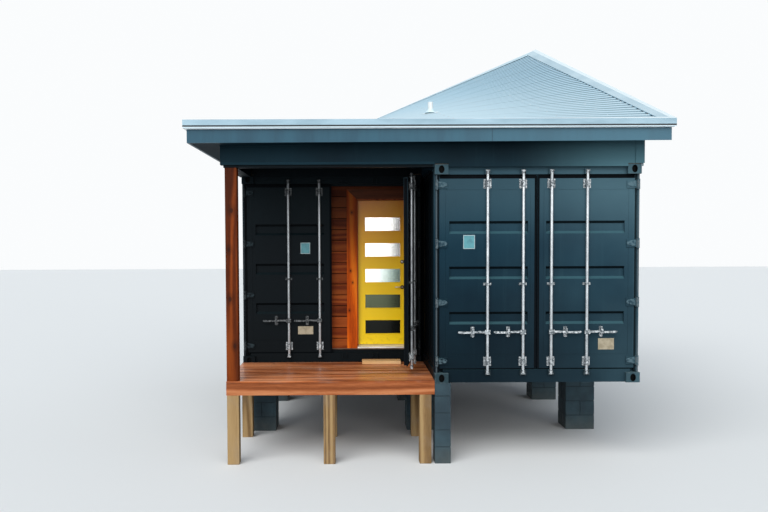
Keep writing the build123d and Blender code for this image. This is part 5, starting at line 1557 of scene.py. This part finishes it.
drip_metal = Finish("drip_metal", roughness=0.3, metallic=0.2)
drip_metal.mottled(6, srgb(214, 226, 232), srgb(190, 204, 212), stretch=(1, 1, 5))
fascia_low, fascia_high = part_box("fascia_boards")
drip = Shapes()
span_x = (fascia_low.x - DRIP_OUT, fascia_high.x + DRIP_OUT)
span_y = (fascia_low.y, fascia_high.y)
for x_span, y_span in ((span_x, (fascia_low.y - DRIP_OUT, fascia_low.y)),
                       (span_x, (fascia_high.y, fascia_high.y + DRIP_OUT)),
                       ((fascia_low.x - DRIP_OUT, fascia_low.x), span_y),
                       ((fascia_high.x, fascia_high.x + DRIP_OUT), span_y)):
    warped(drip, x_span, y_span, roof(-TRIM_HEIGHT - DRIP_HEIGHT), roof(-TRIM_HEIGHT), 4)
drip.as_piece("drip_edge", drip_metal, "roof_metal")


# Roof covering: corrugated steel sheets, coated pale blue, on battens along the rafters. Each
# laps the one before it by half a wave and is screwed through its crests.
SHEET_COUNT = 9
WAVES_PER_SHEET = 5
POINTS_PER_WAVE = 16
SHEET_STEPS = 4
WAVE_MIDDLE = -0.018
WAVE_HALF = 0.0090
SHEET_THICK = 0.0012
LAP_LIFT = 0.0012
BATTEN_WIDE = 0.045
BATTEN_TOP = WAVE_MIDDLE - WAVE_HALF - SHEET_THICK
BATTEN_FOOT = -0.044
sheet_low, sheet_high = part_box("roof_sheets")
rafter_low, rafter_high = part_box("rafters")
sheet_run = (rafter_high.y - rafter_low.y) / SHEET_COUNT
wave = sheet_run / WAVES_PER_SHEET
rafter_places = [(low.x + high.x) / 2 for low, high in islands("rafters")]

roof_metal = Finish("coated_sheet", roughness=0.36, metallic=0.25)
mark = roof_metal.noise(0.9, detail=4)
rise = (roof_metal.along("Z") - EAVE) / CORNER_RISE
crest = roof_metal.node("Math", {0: (roof_metal.along("Y") - rafter_low.y) * (2 * pi / wave)},
                        operation="COSINE") * -0.5 + 0.5
# The sheets darken towards the high corner. Painted shade: the valleys of the waves are darker than the
# crests.
sheet_colour = roof_metal.mix(rise.band(0.0, 0.7), srgb(174, 202, 215), srgb(146, 184, 203))
valley_shade_colour = roof_metal.mix(rise.band(0.0, 0.7), srgb(88, 122, 140), srgb(46, 84, 106))
sheet_colour = roof_metal.mix(crest.band(0.25, 0.75), valley_shade_colour, sheet_colour)
sheet_colour = roof_metal.shaded(sheet_colour, 0.96 + mark * 0.08)
# Painted shade: a darker band along each lap.
lap_shade = seams(roof_metal, "Y", rafter_low.y - 0.018, sheet_run, 0.036)
roof_metal.set(Base_Color=roof_metal.mix(lap_shade * 0.7, sheet_colour, srgb(58, 84, 100)),
               Roughness=0.30 + mark * 0.16)
roof_metal.relief(roof_metal.noise(140, detail=2), 0.0002)

cap_metal = Finish("cap_metal", roughness=0.32, metallic=0.2)
cap_film = cap_metal.noise(1.7, detail=4)
cap_metal.set(Base_Color=cap_metal.mix(cap_film.band(0.3, 0.7), srgb(164, 194, 208), srgb(146, 178, 194)),
              Roughness=0.28 + cap_film * 0.14)
paint_node("rake_caps", cap_metal)

sheets = Shapes()
for sheet in range(SHEET_COUNT):
    waves = WAVES_PER_SHEET + (0.5 if sheet < SHEET_COUNT - 1 else 0)
    points = int(waves * POINTS_PER_WAVE)
    start = rafter_low.y + sheet * sheet_run
    verts = []
    for down in (0, SHEET_THICK):
        for i in range(points + 1):
            y = start + i * wave / POINTS_PER_WAVE
            height = WAVE_MIDDLE - WAVE_HALF * cos(2 * pi * i / POINTS_PER_WAVE) - down
            height += LAP_LIFT * (1 - 2 * i / points) if sheet else 0
            for k in range(SHEET_STEPS + 1):
                x = sheet_low.x + (sheet_high.x - sheet_low.x) * k / SHEET_STEPS
                verts.append((x, y, roof(height)(x, y)))
    row = SHEET_STEPS + 1
    under = (points + 1) * row
    faces = []
    for i in range(points):
        for k in range(SHEET_STEPS):
            a = i * row + k
            faces.append((a, a + 1, a + row + 1, a + row))
            faces.append((under + a, under + a + row, under + a + row + 1, under + a + 1))
        a = i * row
        faces.append((a, a + row, under + a + row, under + a))
        a += SHEET_STEPS
        faces.append((a, under + a, under + a + row, a + row))
    for k in range(SHEET_STEPS):
        faces.append((k, under + k, under + k + 1, k + 1))
        a = points * row + k
        faces.append((a, a + 1, under + a + 1, under + a))
    sheets.take(verts, faces)
sheet_piece = sheets.as_piece("corrugated_sheets", roof_metal, "roof_metal", smooth=True)
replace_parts(sheet_piece, "roof_sheets")

sheet_battens = Shapes()
for x in rafter_places:
    warped(sheet_battens, (x - BATTEN_WIDE / 2, x + BATTEN_WIDE / 2), (rafter_low.y, rafter_high.y),
           roof(BATTEN_FOOT), roof(BATTEN_TOP), 4)
sheet_battens.as_piece("sheet_battens", leg_timber, "framing_timber")


# Roof screws: galvanised hexagon heads with a washer, on every third crest over each rafter.
CAP_WIDTH = 0.140
SCREW_EVERY = 3
ROOF_SCREW = ((0, 0.008), (0.0015, 0.008), (0.002, 0.005), (0.0060, 0.005), (0.0065, 0.004))
CREST = WAVE_MIDDLE + WAVE_HALF
roof_screws = Shapes()
for crest in range(1, SHEET_COUNT * WAVES_PER_SHEET, SCREW_EVERY):
    y = rafter_low.y + (crest + 0.5) * wave
    if y > rafter_high.y - CAP_WIDTH - 0.02:
        continue
    for x in rafter_places:
        x = min(x, sheet_high.x - CAP_WIDTH - 0.03)
        turned(roof_screws, ROOF_SCREW, (x, y, roof(CREST - 0.0005)(x, y)), (0, 0, 1), 6)
roof_screws.as_piece("roof_screws", zinc, "galvanised")


# Vent pipe: a short white plastic pipe through a painted boot, whose oblong flange lies over
# the crests, in the colour of the roof.
VENT_RADIUS = 0.036
VENT_TOP = 0.152
VENT_WALL = 0.004
VENT_DEPTH = 0.10
FLANGE_HALF = (0.115, 0.145)
BOOT = ((0.0, 0.082), (0.006, 0.080), (0.022, 0.058), (0.040, 0.044), (0.052, 0.041))
vent_low, vent_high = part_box("vent_pipe")
vent_x = (vent_low.x + vent_high.x) / 2
vent_y = (vent_low.y + vent_high.y) / 2
vent_foot = roof(CREST)(vent_x, vent_y)

pipe_white = Finish("pipe_white", roughness=0.4)
stain = pipe_white.noise(9, stretch=(1, 1, 0.4), detail=5)
pipe_white.set(Base_Color=pipe_white.mix(stain.band(0.45, 0.75) * 0.5, srgb(228, 232, 232),
                                         srgb(176, 184, 184)))
pipe_white.relief(pipe_white.noise(160), 0.0003)
boot_paint = Finish("boot_paint", roughness=0.5)
boot_paint.mottled(12, srgb(214, 232, 238), srgb(184, 208, 218), detail=4)

pipe = Shapes()
turned(pipe, [(0.0, VENT_RADIUS), (VENT_TOP, VENT_RADIUS), (VENT_TOP, VENT_RADIUS - VENT_WALL),
              (VENT_TOP - VENT_DEPTH, VENT_RADIUS - VENT_WALL)], (vent_x, vent_y, vent_foot), (0, 0, 1), 28)
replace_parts(pipe.as_piece("vent_tube", pipe_white, "pipe_plastic", smooth=True), "vent_pipe")
boot = Shapes()
turned(boot, BOOT, (vent_x, vent_y, vent_foot), (0, 0, 1), 28)
warped(boot, (vent_x - FLANGE_HALF[0], vent_x + FLANGE_HALF[0]),
       (vent_y - FLANGE_HALF[1], vent_y + FLANGE_HALF[1]), roof(CREST - 0.001), roof(CREST + 0.002), 3)
boot.as_piece("vent_boot", boot_paint, "roof_metal", smooth=True)
